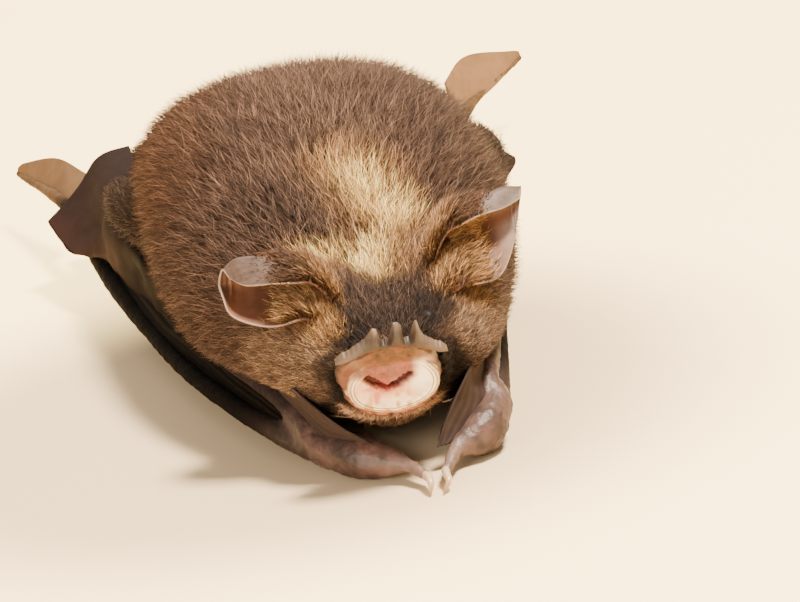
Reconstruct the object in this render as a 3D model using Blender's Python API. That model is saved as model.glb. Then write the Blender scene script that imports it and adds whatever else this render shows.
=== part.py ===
"""A trident leaf-nosed bat at life size, crouched on its wrists and feet with folded wings.

The bat faces -Y and stands on the floor at z = 0. Sizes are in millimetres until mesh_object()
turns them into metres. The fur's outer surface is a loft of rings from the muzzle to the tail's
root, and the head, neck, trunk and rump are lengths of it. The limbs are tapered tubes, and the
wing and tail membranes are thin slabs spanned between them.
"""

import math
from collections import namedtuple

import bmesh
import bpy
import numpy as np

MM = 0.001
GAP = 0.3  # clearance between neighbouring solids
SKIN = 0.5  # thickness of ears and wing membranes
MIDDLE_Y = 5.65  # brings the origin under the middle of the bat

# The fur's outer surface: one ring for each station, from the muzzle's flat front to the tail's
# root. A ring stands between a point on the back and one on the belly, and is widest at level.
# The last two are superellipse exponents of its lower right and left quarter: where they are
# small, the quarter is hollow, and the arm lies there.
Station = namedtuple("Station", "x back_y back_z belly_y belly_z wide level below_right below_left")
STATIONS = (
    Station(-0.3, -23.6, 8.0, -22.0, 3.4, 2.9, 0.50, 2.0, 2.0),
    Station(-0.2, -22.9, 8.5, -21.5, 2.3, 4.2, 0.50, 1.5, 1.5),
    Station(-0.1, -21.6, 9.0, -20.6, 1.9, 5.6, 0.48, 1.3, 1.1),
    Station(-0.2, -19.2, 9.8, -18.2, 1.7, 7.0, 0.46, 1.2, 1.1),
    Station(-0.4, -15.8, 11.2, -14.0, 1.5, 8.6, 0.43, 1.4, 1.2),
    Station(-0.6, -11.8, 12.9, -9.5, 1.2, 10.0, 0.42, 1.8, 1.5),
    Station(-0.5, -6.2, 14.8, -5.0, 0.8, 10.9, 0.46, 1.9, 1.7),
    Station(-0.6, 0.0, 16.0, 0.0, 0.5, 11.0, 0.52, 1.9, 1.9),
    Station(-0.8, 6.0, 15.7, 5.0, 0.4, 10.6, 0.56, 1.9, 1.9),
    Station(-0.9, 12.0, 14.4, 10.0, 0.4, 9.8, 0.56, 1.9, 1.9),
    Station(-0.7, 17.6, 11.8, 15.0, 0.6, 8.2, 0.50, 1.9, 1.9),
    Station(-0.3, 22.0, 8.6, 19.0, 1.0, 6.0, 0.50, 1.9, 1.9),
    Station(0.0, 24.6, 5.6, 22.0, 1.6, 3.4, 0.50, 2.0, 2.0),
    Station(0.0, 25.4, 4.4, 23.4, 2.4, 1.5, 0.50, 2.0, 2.0),
)
ABOVE = 2.3  # superellipse exponent of every ring's upper half
HEAD_END = 3.9  # where the body's parts meet, counted in stations
NECK_END = 5.1
TRUNK_END = 8.7

Side = namedtuple("Side", "name sign")
SIDES = (Side("right", -1), Side("left", 1))

# One folded wing. Its points have x counted outwards from the bat's middle plane.
Wing = namedtuple("Wing", "shoulder elbow forearm wrist thumb claw finger knuckle corner tip fan web fold crest")
WINGS = {
    "right": Wing(
        shoulder=(7.4, -5.5, 8.2),
        elbow=(12.0, 15.5, 5.2),
        forearm=((8.9, -4.0, 3.6), (6.1, -15.0, 2.9), (5.0, -19.0, 2.1)),
        wrist=((4.3, -20.3, 1.3), (2.7, -22.2, 1.28), (0.9, -23.7, 1.05)),
        thumb=((0.4, -24.2, 1.05), (-0.1, -25.0, 0.9), (-0.4, -25.5, 0.75)),
        claw=((-0.5, -26.1, 0.8), (-0.5, -26.6, 0.6), (-0.4, -26.9, 0.2)),
        finger=((5.1, -19.5, 1.2), (7.3, -15.0, 1.6), (10.0, -7.0, 1.9), (11.4, 0.0, 2.1)),
        knuckle=(13.1, 10.0, 2.9),
        corner=(14.5, 21.5, 4.1),
        tip=(17.1, 32.5, 3.7),
        fan=((13.0, 24.0, 5.5), (14.5, 27.5, 5.75), (16.4, 31.2, 4.7)),
        web=((2.7, -21.6, 2.9), (3.5, -20.0, 3.2), (4.6, -16.9, 3.4)),
        fold=((14.5, 13.0, 3.7), (15.3, 15.5, 3.4), (15.9, 18.6, 3.9)),
        crest=((12.0, 11.5, 7.8), (11.4, 19.6, 8.2)),
    ),
    "left": Wing(
        shoulder=(7.2, -5.5, 8.2),
        elbow=(11.2, 15.0, 4.6),
        forearm=((8.8, -4.0, 5.2), (6.5, -15.5, 4.8), (5.2, -19.6, 3.1)),
        wrist=((5.3, -20.8, 2.1), (4.2, -22.3, 1.35), (2.9, -23.3, 1.2)),
        thumb=((2.5, -23.7, 1.2), (1.9, -24.8, 0.9), (1.55, -25.4, 0.75)),
        claw=((1.5, -25.9, 0.8), (1.5, -26.6, 0.6), (1.1, -27.0, 0.2)),
        finger=((5.7, -19.3, 1.0), (6.6, -15.0, 2.3), (8.1, -7.0, 2.3), (9.7, 0.0, 2.2)),
        knuckle=(11.3, 10.0, 2.4),
        corner=(11.2, 22.0, 4.7),
        tip=(17.2, 33.2, 4.9),
        fan=((10.8, 24.0, 7.0), (12.8, 27.5, 7.4), (16.2, 32.0, 5.8)),
        web=((2.3, -22.6, 2.8), (3.6, -20.9, 3.8), (5.9, -17.0, 4.9)),
        fold=((12.8, 13.0, 3.9), (13.4, 14.8, 4.1)),
        crest=((12.1, 12.5, 6.9), (10.8, 16.8, 6.7)),
    ),
}
BONE = 0.58  # radius of a finger, and of the skin round it

# One ear is a scoop with its opening forwards. Four curves run from its base to its tip: the upper
# rim, the crest of its roof, its back wall and the lower rim.
Ear = namedtuple("Ear", "upper crest back lower")
EARS = {
    "right": Ear(
        upper=((-3.9, -20.4, 11.2), (-5.5, -20.1, 11.35), (-7.1, -19.5, 11.35), (-7.9, -18.6, 11.65)),
        crest=((-3.9, -18.5, 11.7), (-5.5, -18.3, 12.3), (-7.2, -18.0, 12.5), (-8.15, -17.9, 11.95)),
        back=((-3.9, -17.2, 10.0), (-5.6, -17.0, 10.4), (-7.5, -17.1, 10.7), (-8.45, -17.8, 11.2)),
        lower=((-4.4, -20.6, 9.2), (-6.3, -20.2, 9.0), (-8.1, -19.4, 9.7), (-8.45, -18.6, 10.8)),
    ),
    "left": Ear(
        upper=((4.8, -18.6, 12.0), (6.3, -18.3, 12.35), (7.9, -17.6, 12.3), (8.9, -17.1, 12.5)),
        crest=((5.2, -17.0, 12.5), (6.7, -16.8, 12.9), (8.1, -16.5, 13.1), (9.2, -16.2, 12.85)),
        back=((5.0, -16.4, 10.9), (6.7, -16.0, 11.1), (8.3, -15.8, 11.5), (9.0, -15.9, 11.7)),
        lower=((4.7, -20.0, 9.05), (6.9, -19.0, 8.9), (8.2, -17.5, 10.2), (8.4, -17.0, 10.6)),
    ),
}

FACE_TILT = 20.0  # degrees that the noseleaf faces below the level
FACE_ROLL = 5.0  # degrees that it is turned in its own plane, its left end down
FACE = (-0.52, -23.7, 6.02)  # middle of the noseleaf's back
LEAF_WIDE = 2.95
LEAF_HIGH = 2.0
POINTS = (-0.78, 0.45, 1.5)  # across the noseleaf, where its three blunt points stand
EYE = (2.45, -21.5, 8.4)
EYE_RADIUS = 0.55


def unit(v):
    v = np.asarray(v, float)
    return v / np.linalg.norm(v)


def spline_value(padded, t):
    """The value at t of a Catmull-Rom curve whose first and last rows are only guides."""
    i = min(int(t), len(padded) - 4)
    f = t - i
    a, b, c, d = padded[i : i + 4]
    return b + 0.5 * f * (c - a + f * (2 * a - 5 * b + 4 * c - d + f * (3 * (b - c) + d - a)))


def padded_rows(points):
    p = np.asarray(points, float)
    return np.vstack([2 * p[0] - p[1], p, 2 * p[-1] - p[-2]])


def smooth_path(points, count):
    """count points along a Catmull-Rom curve through the given rows of numbers."""
    rows = padded_rows(points)
    return np.array([spline_value(rows, t) for t in np.linspace(0, len(rows) - 3, count)])


def power(value, exponent):
    return np.sign(value) * np.abs(value) ** exponent


def body_ring(t, sides=18, grow=0.0):
    """One ring of the fur's surface, counted from the bat's left over the back to its right."""
    s = Station(*spline_value(padded_rows(STATIONS), t))
    back = np.array([s.x, s.back_y, s.back_z])
    belly = np.array([s.x, s.belly_y, s.belly_z])
    upright = unit(back - belly)
    middle = belly + (back - belly) * s.level
    above = np.linalg.norm(back - middle) + grow
    below = np.linalg.norm(middle - belly) + grow
    angle = np.linspace(0, 2 * math.pi, sides, endpoint=False)
    upper = np.sin(angle) >= 0
    below_exponent = np.where(np.cos(angle) < 0, s.below_right, s.below_left)
    exponent = 2 / np.where(upper, ABOVE, below_exponent)
    across = (s.wide + grow) * power(np.cos(angle), exponent)
    height = np.where(upper, above, below) * power(np.sin(angle), exponent)
    return middle + np.outer(across, (1, 0, 0)) + np.outer(height, upright)


# ---------------------------------------------------------------- meshes


def material(name, colour, roughness):
    made = bpy.data.materials.new(name)
    made.use_nodes = True
    shader = made.node_tree.nodes["Principled BSDF"]
    shader.inputs["Base Color"].default_value = (*colour, 1.0)
    shader.inputs["Roughness"].default_value = roughness
    return made


def mesh_object(name, points, faces, finish=None):
    mesh = bpy.data.meshes.new(name)
    moved = (np.asarray(points, float) - (0, MIDDLE_Y, 0)) * MM
    mesh.from_pydata(moved.tolist(), [], faces)
    made = bmesh.new()
    made.from_mesh(mesh)
    bmesh.ops.remove_doubles(made, verts=made.verts, dist=0.001 * MM)
    bmesh.ops.triangulate(made, faces=made.faces)
    bmesh.ops.recalc_face_normals(made, faces=made.faces)
    made.to_mesh(mesh)
    made.free()
    mesh.shade_smooth()
    obj = bpy.data.objects.new(name, mesh)
    bpy.context.scene.collection.objects.link(obj)
    if finish:
        mesh.materials.append(finish)
    return obj


def ring_faces(rings, sides):
    """Quads between consecutive rings, and a cap on each end."""
    faces = [
        (r * sides + i, r * sides + (i + 1) % sides, (r + 1) * sides + (i + 1) % sides, (r + 1) * sides + i)
        for r in range(rings - 1)
        for i in range(sides)
    ]
    last = (rings - 1) * sides
    faces.append(tuple(range(sides)))
    faces.append(tuple(range(last + sides - 1, last - 1, -1)))
    return faces


def loft(name, rings, finish=None):
    points = np.vstack(rings)
    return mesh_object(name, points, ring_faces(len(rings), len(rings[0])), finish)


def tube_rings(path, radii, sides=8, flat=1.0, up=(0, 0, 1), grow=0.0):
    """Rings round a path. flat is a ring's height over its width, and the ends are rounded."""
    path = np.asarray(path, float)
    radii = np.asarray(radii, float) + grow
    along = np.gradient(path, axis=0)
    rings = []
    angle = np.linspace(0, 2 * math.pi, sides, endpoint=False)
    for point, direction, radius in zip(path, along, radii):
        side = unit(np.cross(direction, up))
        top = unit(np.cross(side, direction))
        height = radius * flat + grow * (1 - flat)
        rings.append(point + np.outer(np.cos(angle) * radius, side) + np.outer(np.sin(angle) * height, top))
    return rings


def tube(name, points, radii, finish=None, count=8, sides=8, flat=1.0, up=(0, 0, 1), grow=0.0):
    """A tapered limb through a few points, with a radius given at each of them."""
    rows = smooth_path(np.column_stack([points, radii]), count)
    path, radii = rows[:, :3], rows[:, 3]
    start = unit(path[0] - path[1])
    end = unit(path[-1] - path[-2])
    path = np.vstack([path[0] + start * radii[0] * 0.6, path, path[-1] + end * radii[-1] * 0.6])
    radii = np.concatenate([[radii[0] * 0.5], radii, [radii[-1] * 0.5]])
    if grow:
        path[0] += start * grow
        path[-1] += end * grow
    return loft(name, tube_rings(path, radii, sides, flat, up, grow), finish)


def slab(name, grid, thickness, finish=None, grow=0.0):
    """A closed sheet round a grid of points (rows, columns, 3), thickened to both sides."""
    grid = np.asarray(grid, float)
    rows, columns = grid.shape[:2]
    across = np.gradient(grid, axis=0)
    along = np.gradient(grid, axis=1)
    normal = np.cross(across, along)
    normal /= np.maximum(np.linalg.norm(normal, axis=2, keepdims=True), 1e-9)
    half = thickness / 2 + grow
    points = np.vstack([(grid + normal * half).reshape(-1, 3), (grid - normal * half).reshape(-1, 3)])
    under = rows * columns
    faces = []
    for r in range(rows - 1):
        for c in range(columns - 1):
            a = r * columns + c
            faces.append((a, a + 1, a + columns + 1, a + columns))
            faces.append((under + a, under + a + columns, under + a + columns + 1, under + a + 1))
    edge = [(0, c) for c in range(columns)]
    edge += [(r, columns - 1) for r in range(1, rows)]
    edge += [(rows - 1, c) for c in range(columns - 2, -1, -1)]
    edge += [(r, 0) for r in range(rows - 2, 0, -1)]
    rim = [r * columns + c for r, c in edge]
    faces += [(a, under + a, under + b, b) for a, b in zip(rim, rim[1:] + rim[:1])]
    return mesh_object(name, points, faces, finish)


def helper(obj):
    """Marks an object as a cutter, which is no part of the bat."""
    obj.hide_render = True
    obj.display_type = "WIRE"
    return obj


def combine(obj, other, operation):
    step = obj.modifiers.new(operation.title() + "_" + other.name, "BOOLEAN")
    step.operation = operation
    step.object = other
    step.solver = "EXACT"
    return obj


def span(first, second, rows, columns, bulge=(0, 0, 0)):
    """A grid between two curves, bulged in the middle."""
    a = smooth_path(first, columns)
    b = smooth_path(second, columns)
    share = np.linspace(0, 1, rows)[:, None, None]
    return a * (1 - share) + b * share + 4 * share * (1 - share) * np.asarray(bulge, float)


# ---------------------------------------------------------------- body


def body_length(name, start, end, finish, grow=0.0):
    """A length of the body between two stations, grown by grow all round and at its ends."""
    rings = [body_ring(t, grow=grow) for t in np.linspace(start, end, max(3, round((end - start) * 2) + 1))]
    if grow:
        before = unit(rings[0].mean(axis=0) - rings[1].mean(axis=0)) * grow * 1.5
        after = unit(rings[-1].mean(axis=0) - rings[-2].mean(axis=0)) * grow * 1.5
        rings = [rings[0] + before, *rings, rings[-1] + after]
    return loft(name, rings, finish)


def make_body(finish):
    last = len(STATIONS) - 1
    step = 0.1  # stations left open between two parts
    return {
        "head": body_length("head", 0, HEAD_END, finish),
        "neck": body_length("neck", HEAD_END + step, NECK_END, finish),
        "trunk": body_length("trunk", NECK_END + step, TRUNK_END, finish),
        "rump": body_length("rump", TRUNK_END + step, last, finish),
    }


def box_cutter(name, low, high):
    corners = [(x, y, z) for x in (low[0], high[0]) for y in (low[1], high[1]) for z in (low[2], high[2])]
    faces = [(0, 1, 3, 2), (4, 6, 7, 5), (0, 4, 5, 1), (2, 3, 7, 6), (0, 2, 6, 4), (1, 5, 7, 3)]
    return helper(mesh_object(name, corners, faces))


def part_jaw(head, finish):
    """The lower jaw is what lies under the mouth's line, in front of the throat."""
    mouth = 3.05
    throat = -17.6
    jaw = body_length("jaw", 0, HEAD_END, finish)
    combine(jaw, box_cutter("jaw_keep", (-12, -30, -3), (12, throat - GAP, mouth - GAP)), "INTERSECT")
    combine(head, box_cutter("jaw_space", (-12, -30, -3), (12, throat, mouth)), "DIFFERENCE")
    return jaw


def ball(name, centre, radius, finish=None, sides=8):
    rings = []
    for turn in np.linspace(0.3, math.pi - 0.3, 6):
        angle = np.linspace(0, 2 * math.pi, sides, endpoint=False)
        ring = np.column_stack(
            [np.cos(angle) * math.sin(turn), np.full(sides, -math.cos(turn)), np.sin(angle) * math.sin(turn)]
        )
        rings.append(np.asarray(centre) + radius * ring)
    return loft(name, rings, finish)


def make_eyes(head, finish):
    for side in SIDES:
        centre = np.array(EYE) * (side.sign, 1, 1)
        ball("eye_" + side.name, centre, EYE_RADIUS, finish)
        outwards = unit((side.sign * 0.35, -0.55, 0.75))
        pit = [centre - outwards * 0.5, centre + outwards * 1.0, centre + outwards * 2.4]
        socket = tube("socket_" + side.name, pit, (0.95, 1.05, 1.5), sides=10, count=3)
        combine(head, helper(socket), "DIFFERENCE")


# ---------------------------------------------------------------- noseleaf and ears

def face_axes():
    """The noseleaf's directions across, up and out."""
    tilt, roll = math.radians(FACE_TILT), math.radians(FACE_ROLL)
    level = np.array([1, 0, 0])
    upright = np.array([0, -math.sin(tilt), math.cos(tilt)])
    across = level * math.cos(roll) - upright * math.sin(roll)
    up = upright * math.cos(roll) + level * math.sin(roll)
    return across, up, np.array([0, -math.cos(tilt), -math.sin(tilt)])


FACE_ACROSS, FACE_UP, FACE_OUT = face_axes()


def on_face(across, up, out):
    return np.asarray(FACE) + across * FACE_ACROSS + up * FACE_UP + out * FACE_OUT


def make_noseleaf(finish):
    """The front leaf is a dish with a raised rim, and the rear leaf arches over it."""
    angle = np.linspace(0, 2 * math.pi, 20, endpoint=False)
    rings = []
    for size, out in ((0.8, 0.3), (0.98, 0.4), (1.0, 0.75), (0.95, 1.1), (0.85, 1.0), (0.6, 0.75), (0.25, 0.8)):
        rings.append([on_face(LEAF_WIDE * size * math.cos(a), LEAF_HIGH * size * math.sin(a), out) for a in angle])
    loft("noseleaf_front", rings, finish)

    columns = 23
    arch_wide = 4.6
    arch_high = LEAF_HIGH + 0.4
    low = []
    top = []
    for x in np.linspace(-2.95, 2.95, columns):
        foot = arch_high * math.sqrt(1 - (x / arch_wide) ** 2)
        peak = max(math.exp(-(((x - p) / 0.27) ** 2)) for p in POINTS)
        low.append(on_face(x, foot, 0.55))
        top.append(on_face(x, foot + 0.6 + 0.2 * math.cos(x / 3.25 * math.pi / 2) + 0.85 * peak, 0.2))
    slab("noseleaf_rear", [low, (np.array(low) + top) / 2, top], SKIN, finish)


def ear_grid(ear, rows, columns):
    """Each row is a section of the scoop, from the upper rim over the back to the lower rim."""
    guides = [smooth_path(guide, rows) for guide in ear]
    return [smooth_path([guide[row] for guide in guides], columns) for row in range(rows)]


def make_ears(finish):
    for side in SIDES:
        ear = slab("ear_" + side.name, ear_grid(EARS[side.name], 8, 10), SKIN, finish)
        combine(ear, body_space("fur_at_ear_" + side.name, 0, NECK_END + 1), "DIFFERENCE")


def body_space(name, start, end):
    """The fur's surface with its clearance, as a cutter."""
    return helper(body_length(name, start, end, None, grow=GAP))


# ---------------------------------------------------------------- limbs


def at_side(side, points):
    """Points of one side, whose x is counted outwards, in the bat's own frame."""
    return np.array(points, float) * (side.sign, 1, 1)


def shifted(points, by):
    return np.array(points, float) + by


def part_way(start, end, share):
    return (1 - share) * np.array(start) + share * np.array(end)


def rest_on_floor(obj):
    """Presses what would reach under the floor flat onto it."""
    for vertex in obj.data.vertices:
        vertex.co.z = max(vertex.co.z, 0.0)
    return obj


def limb(name, side, points, radii, finish, **shape):
    return rest_on_floor(tube(name + "_" + side.name, at_side(side, points), radii, finish, **shape))


def space(name, side, points, radii, **shape):
    """A limb with its clearance, as a cutter."""
    return helper(tube("space_" + name + "_" + side.name, at_side(side, points), radii, grow=GAP, **shape))


def cut(obj, *cutters):
    for cutter in cutters:
        combine(obj, cutter, "DIFFERENCE")
    return obj


def make_arm(side, parts, fur, skin):
    wing = WINGS[side.name]
    upper = [wing.shoulder, shifted(wing.elbow, (-1.3, -9.5, 2.7)), shifted(wing.elbow, (-0.5, -2.0, 1.9))]
    upper_radii = (2.2, 1.7, 1.0)
    fore = [wing.elbow, *wing.forearm]
    fore_radii = (1.15, 0.95, 0.8, 0.9)
    limb("upper_arm", side, upper, upper_radii, fur, count=6)
    limb("forearm", side, fore, fore_radii, skin, count=10)
    upper_space = space("upper_arm", side, upper, upper_radii, count=6)
    fore_space = space("forearm", side, fore, fore_radii, count=10)
    cut(bpy.data.objects["upper_arm_" + side.name], fore_space)
    for name in ("neck", "trunk", "rump", "head"):
        cut(parts[name], fore_space)
    for name in ("neck", "trunk", "rump"):
        cut(parts[name], upper_space)
    return fore_space, upper_space


def make_hand(side, parts, fore_space, skin, claw_finish):
    """The wrist rests on the floor, with the thumb and its claw in front of it."""
    wing = WINGS[side.name]
    wrist_radii = (1.15, 1.42, 0.95)
    thumb_radii = (0.75, 0.55, 0.44)
    wrist = limb("wrist", side, wing.wrist, wrist_radii, skin, count=6, sides=10)
    wrist_space = space("wrist", side, wing.wrist, wrist_radii, count=6, sides=10)
    thumb = limb("thumb", side, wing.thumb, thumb_radii, skin, count=5)
    claw = limb("thumb_claw", side, wing.claw, (0.24, 0.2, 0.08), claw_finish, count=5, sides=6)
    cut(wrist, fore_space)
    cut(thumb, wrist_space)
    cut(claw, space("thumb", side, wing.thumb, thumb_radii, count=5))
    cut(parts["jaw"], wrist_space)
    cut(parts["head"], wrist_space)
    return wrist_space


def make_fingers(side, wrist_space, fore_space, skin):
    """The folded fingers lie along the forearm, the third outermost."""
    wing = WINGS[side.name]
    third = [*wing.finger, wing.knuckle, wing.corner, wing.tip]
    radii = [BONE * r for r in (1.1, 1.1, 1.0, 1.0, 1.3, 1.1, 0.6)]
    cut(limb("finger_3", side, third, radii, skin, count=14, sides=6), wrist_space, fore_space)
    spaces = [space("finger_3", side, third, radii, count=14, sides=6)]
    for name, inwards in (("finger_4", -1.55), ("finger_5", -3.1)):
        low = [(x + inwards, y + 0.3, BONE) for x, y, z in (*wing.finger, wing.knuckle)]
        low.append((wing.knuckle[0] + inwards - 0.2, 18.0, BONE))
        radii = [BONE * r for r in (1.0, 1.0, 1.0, 1.0, 1.1, 0.7)]
        cut(limb(name, side, low, radii, skin, count=10, sides=6), wrist_space, fore_space)
        spaces.append(space(name, side, low, radii, count=10, sides=6))
    return spaces


def make_wing_membranes(side, fore_space, upper_space, wrist_space, finger_spaces, leg_spaces, fur_space, skin):
    wing = WINGS[side.name]

    def sheet(name, grid, thickness, *cutters):
        made = slab(name + "_" + side.name, at_side(side, grid), thickness, skin)
        return cut(rest_on_floor(made), *cutters)

    # Between the forearm and the third finger.
    start = 0.4  # share of the way from the wrist to the next point, where the membrane begins
    fore_start = part_way(wing.forearm[2], wing.forearm[1], start)
    finger_start = part_way(wing.finger[0], wing.finger[1], start)
    fore_end = part_way(wing.forearm[0], wing.elbow, 0.6)
    finger_end = part_way(wing.finger[3], wing.knuckle, 0.9)
    first = shifted([fore_start, wing.forearm[1], wing.forearm[0], fore_end], (1.2, 0.4, -0.5))
    second = shifted([finger_start, wing.finger[1], wing.finger[3], finger_end], (-0.7, 0, 0.6))
    sheet("hand_membrane", span(first, second, 3, 9), SKIN, fur_space, fore_space, wrist_space, *finger_spaces)

    # In front of the forearm, up to the free edge that runs from the wrist to the throat.
    first = shifted([wing.wrist[0], wing.forearm[2], wing.forearm[1]], (-0.2, -0.2, 0.6))
    sheet("arm_membrane", span(first, wing.web, 3, 6), SKIN, fur_space, fore_space, wrist_space)

    # Gathered behind the elbow, up to the knee.
    low = [shifted(wing.knuckle, (0, 0.4, 1.2)), *wing.fold]
    grid = span(low, wing.crest, 4, 6, bulge=(-0.5, 0, -0.3))
    sheet("side_membrane", grid, 2 * SKIN, fur_space, fore_space, upper_space, *finger_spaces, *leg_spaces)

    # From the gathered fold down to the shank.
    outer = shifted([wing.knuckle, wing.corner], (-1.0, 1.6, 0.0))
    inner = [shifted(wing.knuckle, (-2.7, 3.0, 0.2)), (8.9, 18.5, 3.2), (8.9, 23.6, 3.5)]
    grid = span(outer, inner, 4, 5, bulge=(0, 0, -0.4))
    sheet("leg_membrane", grid, SKIN, fur_space, fore_space, *finger_spaces, *leg_spaces)

    # The wing's tip stands on the last bone of the third finger.
    bone = [shifted(wing.corner, (-0.2, 1.0, 0.2)), part_way(wing.corner, wing.tip, 0.5), wing.tip]
    top = [*wing.fan, shifted(wing.tip, (-0.1, -0.3, 0.5))]
    sheet("wing_tip", span(bone, top, 3, 9), SKIN, fur_space, *finger_spaces)


def make_leg(side, parts, fur, skin):
    """The hind leg: the thigh in the fur, the knee up, and the foot flat on the floor."""
    thigh = [(4.5, 16.0, 6.3), (7.5, 18.4, 6.8), (9.9, 20.6, 6.4)]
    shank = [(10.0, 21.2, 5.9), (9.1, 24.4, 3.4), (7.9, 27.0, 1.4)]
    sole = [(7.8, 27.6, 0.95), (8.0, 28.9, 0.75), (8.4, 30.2, 0.6)]
    thigh_radii = (2.4, 2.0, 1.3)
    shank_radii = (1.05, 0.75, 0.55)
    limb("thigh", side, thigh, thigh_radii, fur, count=6)
    thigh_space = space("thigh", side, thigh, thigh_radii, count=6)
    cut(parts["rump"], thigh_space)
    cut(limb("shank", side, shank, shank_radii, skin, count=6), thigh_space)
    shank_space = space("shank", side, shank, shank_radii, count=6)
    foot = limb("foot", side, sole, (0.75, 0.95, 0.8), skin, count=4)
    for toe in range(5):
        aside = (toe - 2) * 0.55
        path = [(8.3 + aside * 0.7, 29.9, 0.5), (8.7 + aside * 1.3, 32.0, 0.75), (9.0 + aside * 1.6, 33.6, 0.22)]
        made = limb("toe_%d" % toe, side, path, (0.3, 0.27, 0.13), None, count=3, sides=5)
        combine(foot, helper(made), "UNION")
    cut(foot, shank_space)
    return thigh_space, shank_space, space("foot", side, sole, (0.75, 0.95, 0.8), count=4)


TAIL = ((0.0, 24.8, 3.5), (0.0, 28.0, 2.0), (-0.2, 32.0, 0.9), (-1.4, 35.8, 0.5), (-3.8, 38.2, 0.4))
TAIL_RADII = (0.95, 0.8, 0.62, 0.45, 0.25)


def make_tail(fur_space, leg_spaces, skin):
    cut(rest_on_floor(tube("tail", TAIL, TAIL_RADII, skin, count=10)), fur_space)
    tail_space = helper(tube("space_tail", TAIL, TAIL_RADII, count=10, grow=GAP))
    for side in SIDES:
        inner = [(0.2, 24.9, 3.6), (0.2, 30.0, 1.5), (0.6, 34.2, 0.7)]
        outer = [(8.6, 24.6, 3.3), (7.6, 27.4, 1.5), (6.2, 30.6, 0.7)]
        grid = span(inner, outer, 5, 5, bulge=(0, -0.6, -0.2))
        made = slab("tail_membrane_" + side.name, at_side(side, grid), SKIN, skin)
        cut(rest_on_floor(made), tail_space, fur_space, *leg_spaces[side.name])


# ---------------------------------------------------------------- scene


def clear_scene():
    for obj in list(bpy.data.objects):
        bpy.data.objects.remove(obj, do_unlink=True)


def main():
    clear_scene()
    fur = material("fur", (0.20, 0.12, 0.08), 0.8)
    leaf = material("noseleaf", (0.75, 0.52, 0.42), 0.5)
    ear_skin = material("ear", (0.28, 0.17, 0.13), 0.5)
    eye = material("eye", (0.01, 0.01, 0.01), 0.1)
    bare = material("bare_skin", (0.30, 0.20, 0.17), 0.45)
    wing = material("wing", (0.05, 0.035, 0.03), 0.5)
    claw = material("claw", (0.72, 0.6, 0.48), 0.3)
    parts = make_body(fur)
    parts["jaw"] = part_jaw(parts["head"], fur)
    make_eyes(parts["head"], eye)
    make_noseleaf(leaf)
    make_ears(ear_skin)
    fur_space = body_space("fur_space", 0, len(STATIONS) - 1)
    legs = {}
    for side in SIDES:
        fore_space, upper_space = make_arm(side, parts, fur, bare)
        wrist_space = make_hand(side, parts, fore_space, bare, claw)
        finger_spaces = make_fingers(side, wrist_space, fore_space, bare)
        legs[side.name] = make_leg(side, parts, fur, bare)
        spaces = (fore_space, upper_space, wrist_space, finger_spaces, legs[side.name], fur_space)
        make_wing_membranes(side, *spaces, wing)
    make_tail(fur_space, legs, bare)


main()
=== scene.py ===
"""The looks of a crouching trident leaf-nosed bat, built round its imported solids.

One skin with its limbs lies under a coat of solid mesh hairs. The noseleaf, ears, eyes, claws and
wing membranes are finer meshes on the solids' own design sizes. Sizes are in millimetres, in the
solids' design frame, until placed() turns them into the frame's metres: the bat faces -Y, +X is
its left and the floor is z = 0.
"""

import math
from collections import namedtuple

import bmesh
import bpy
import numpy as np
from mathutils import Matrix, Vector
from mathutils.kdtree import KDTree


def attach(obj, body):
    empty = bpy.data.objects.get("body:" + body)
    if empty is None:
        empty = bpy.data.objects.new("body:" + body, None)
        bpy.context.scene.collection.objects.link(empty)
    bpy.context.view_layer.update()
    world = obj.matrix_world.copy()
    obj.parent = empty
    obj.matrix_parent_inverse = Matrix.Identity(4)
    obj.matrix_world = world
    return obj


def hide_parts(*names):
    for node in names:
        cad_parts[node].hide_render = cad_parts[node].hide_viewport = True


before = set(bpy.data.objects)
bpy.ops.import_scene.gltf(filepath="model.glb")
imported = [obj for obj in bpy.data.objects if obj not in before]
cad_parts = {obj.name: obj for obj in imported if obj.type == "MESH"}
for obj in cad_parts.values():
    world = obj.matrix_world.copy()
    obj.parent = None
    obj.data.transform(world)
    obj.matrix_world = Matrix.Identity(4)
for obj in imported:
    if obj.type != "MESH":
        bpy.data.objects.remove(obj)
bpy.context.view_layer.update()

MM = 0.001
MIDDLE_Y = 5.65  # the solids' origin is under the middle of the bat

# ---------------------------------------------------------------- design sizes of the solids

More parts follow.
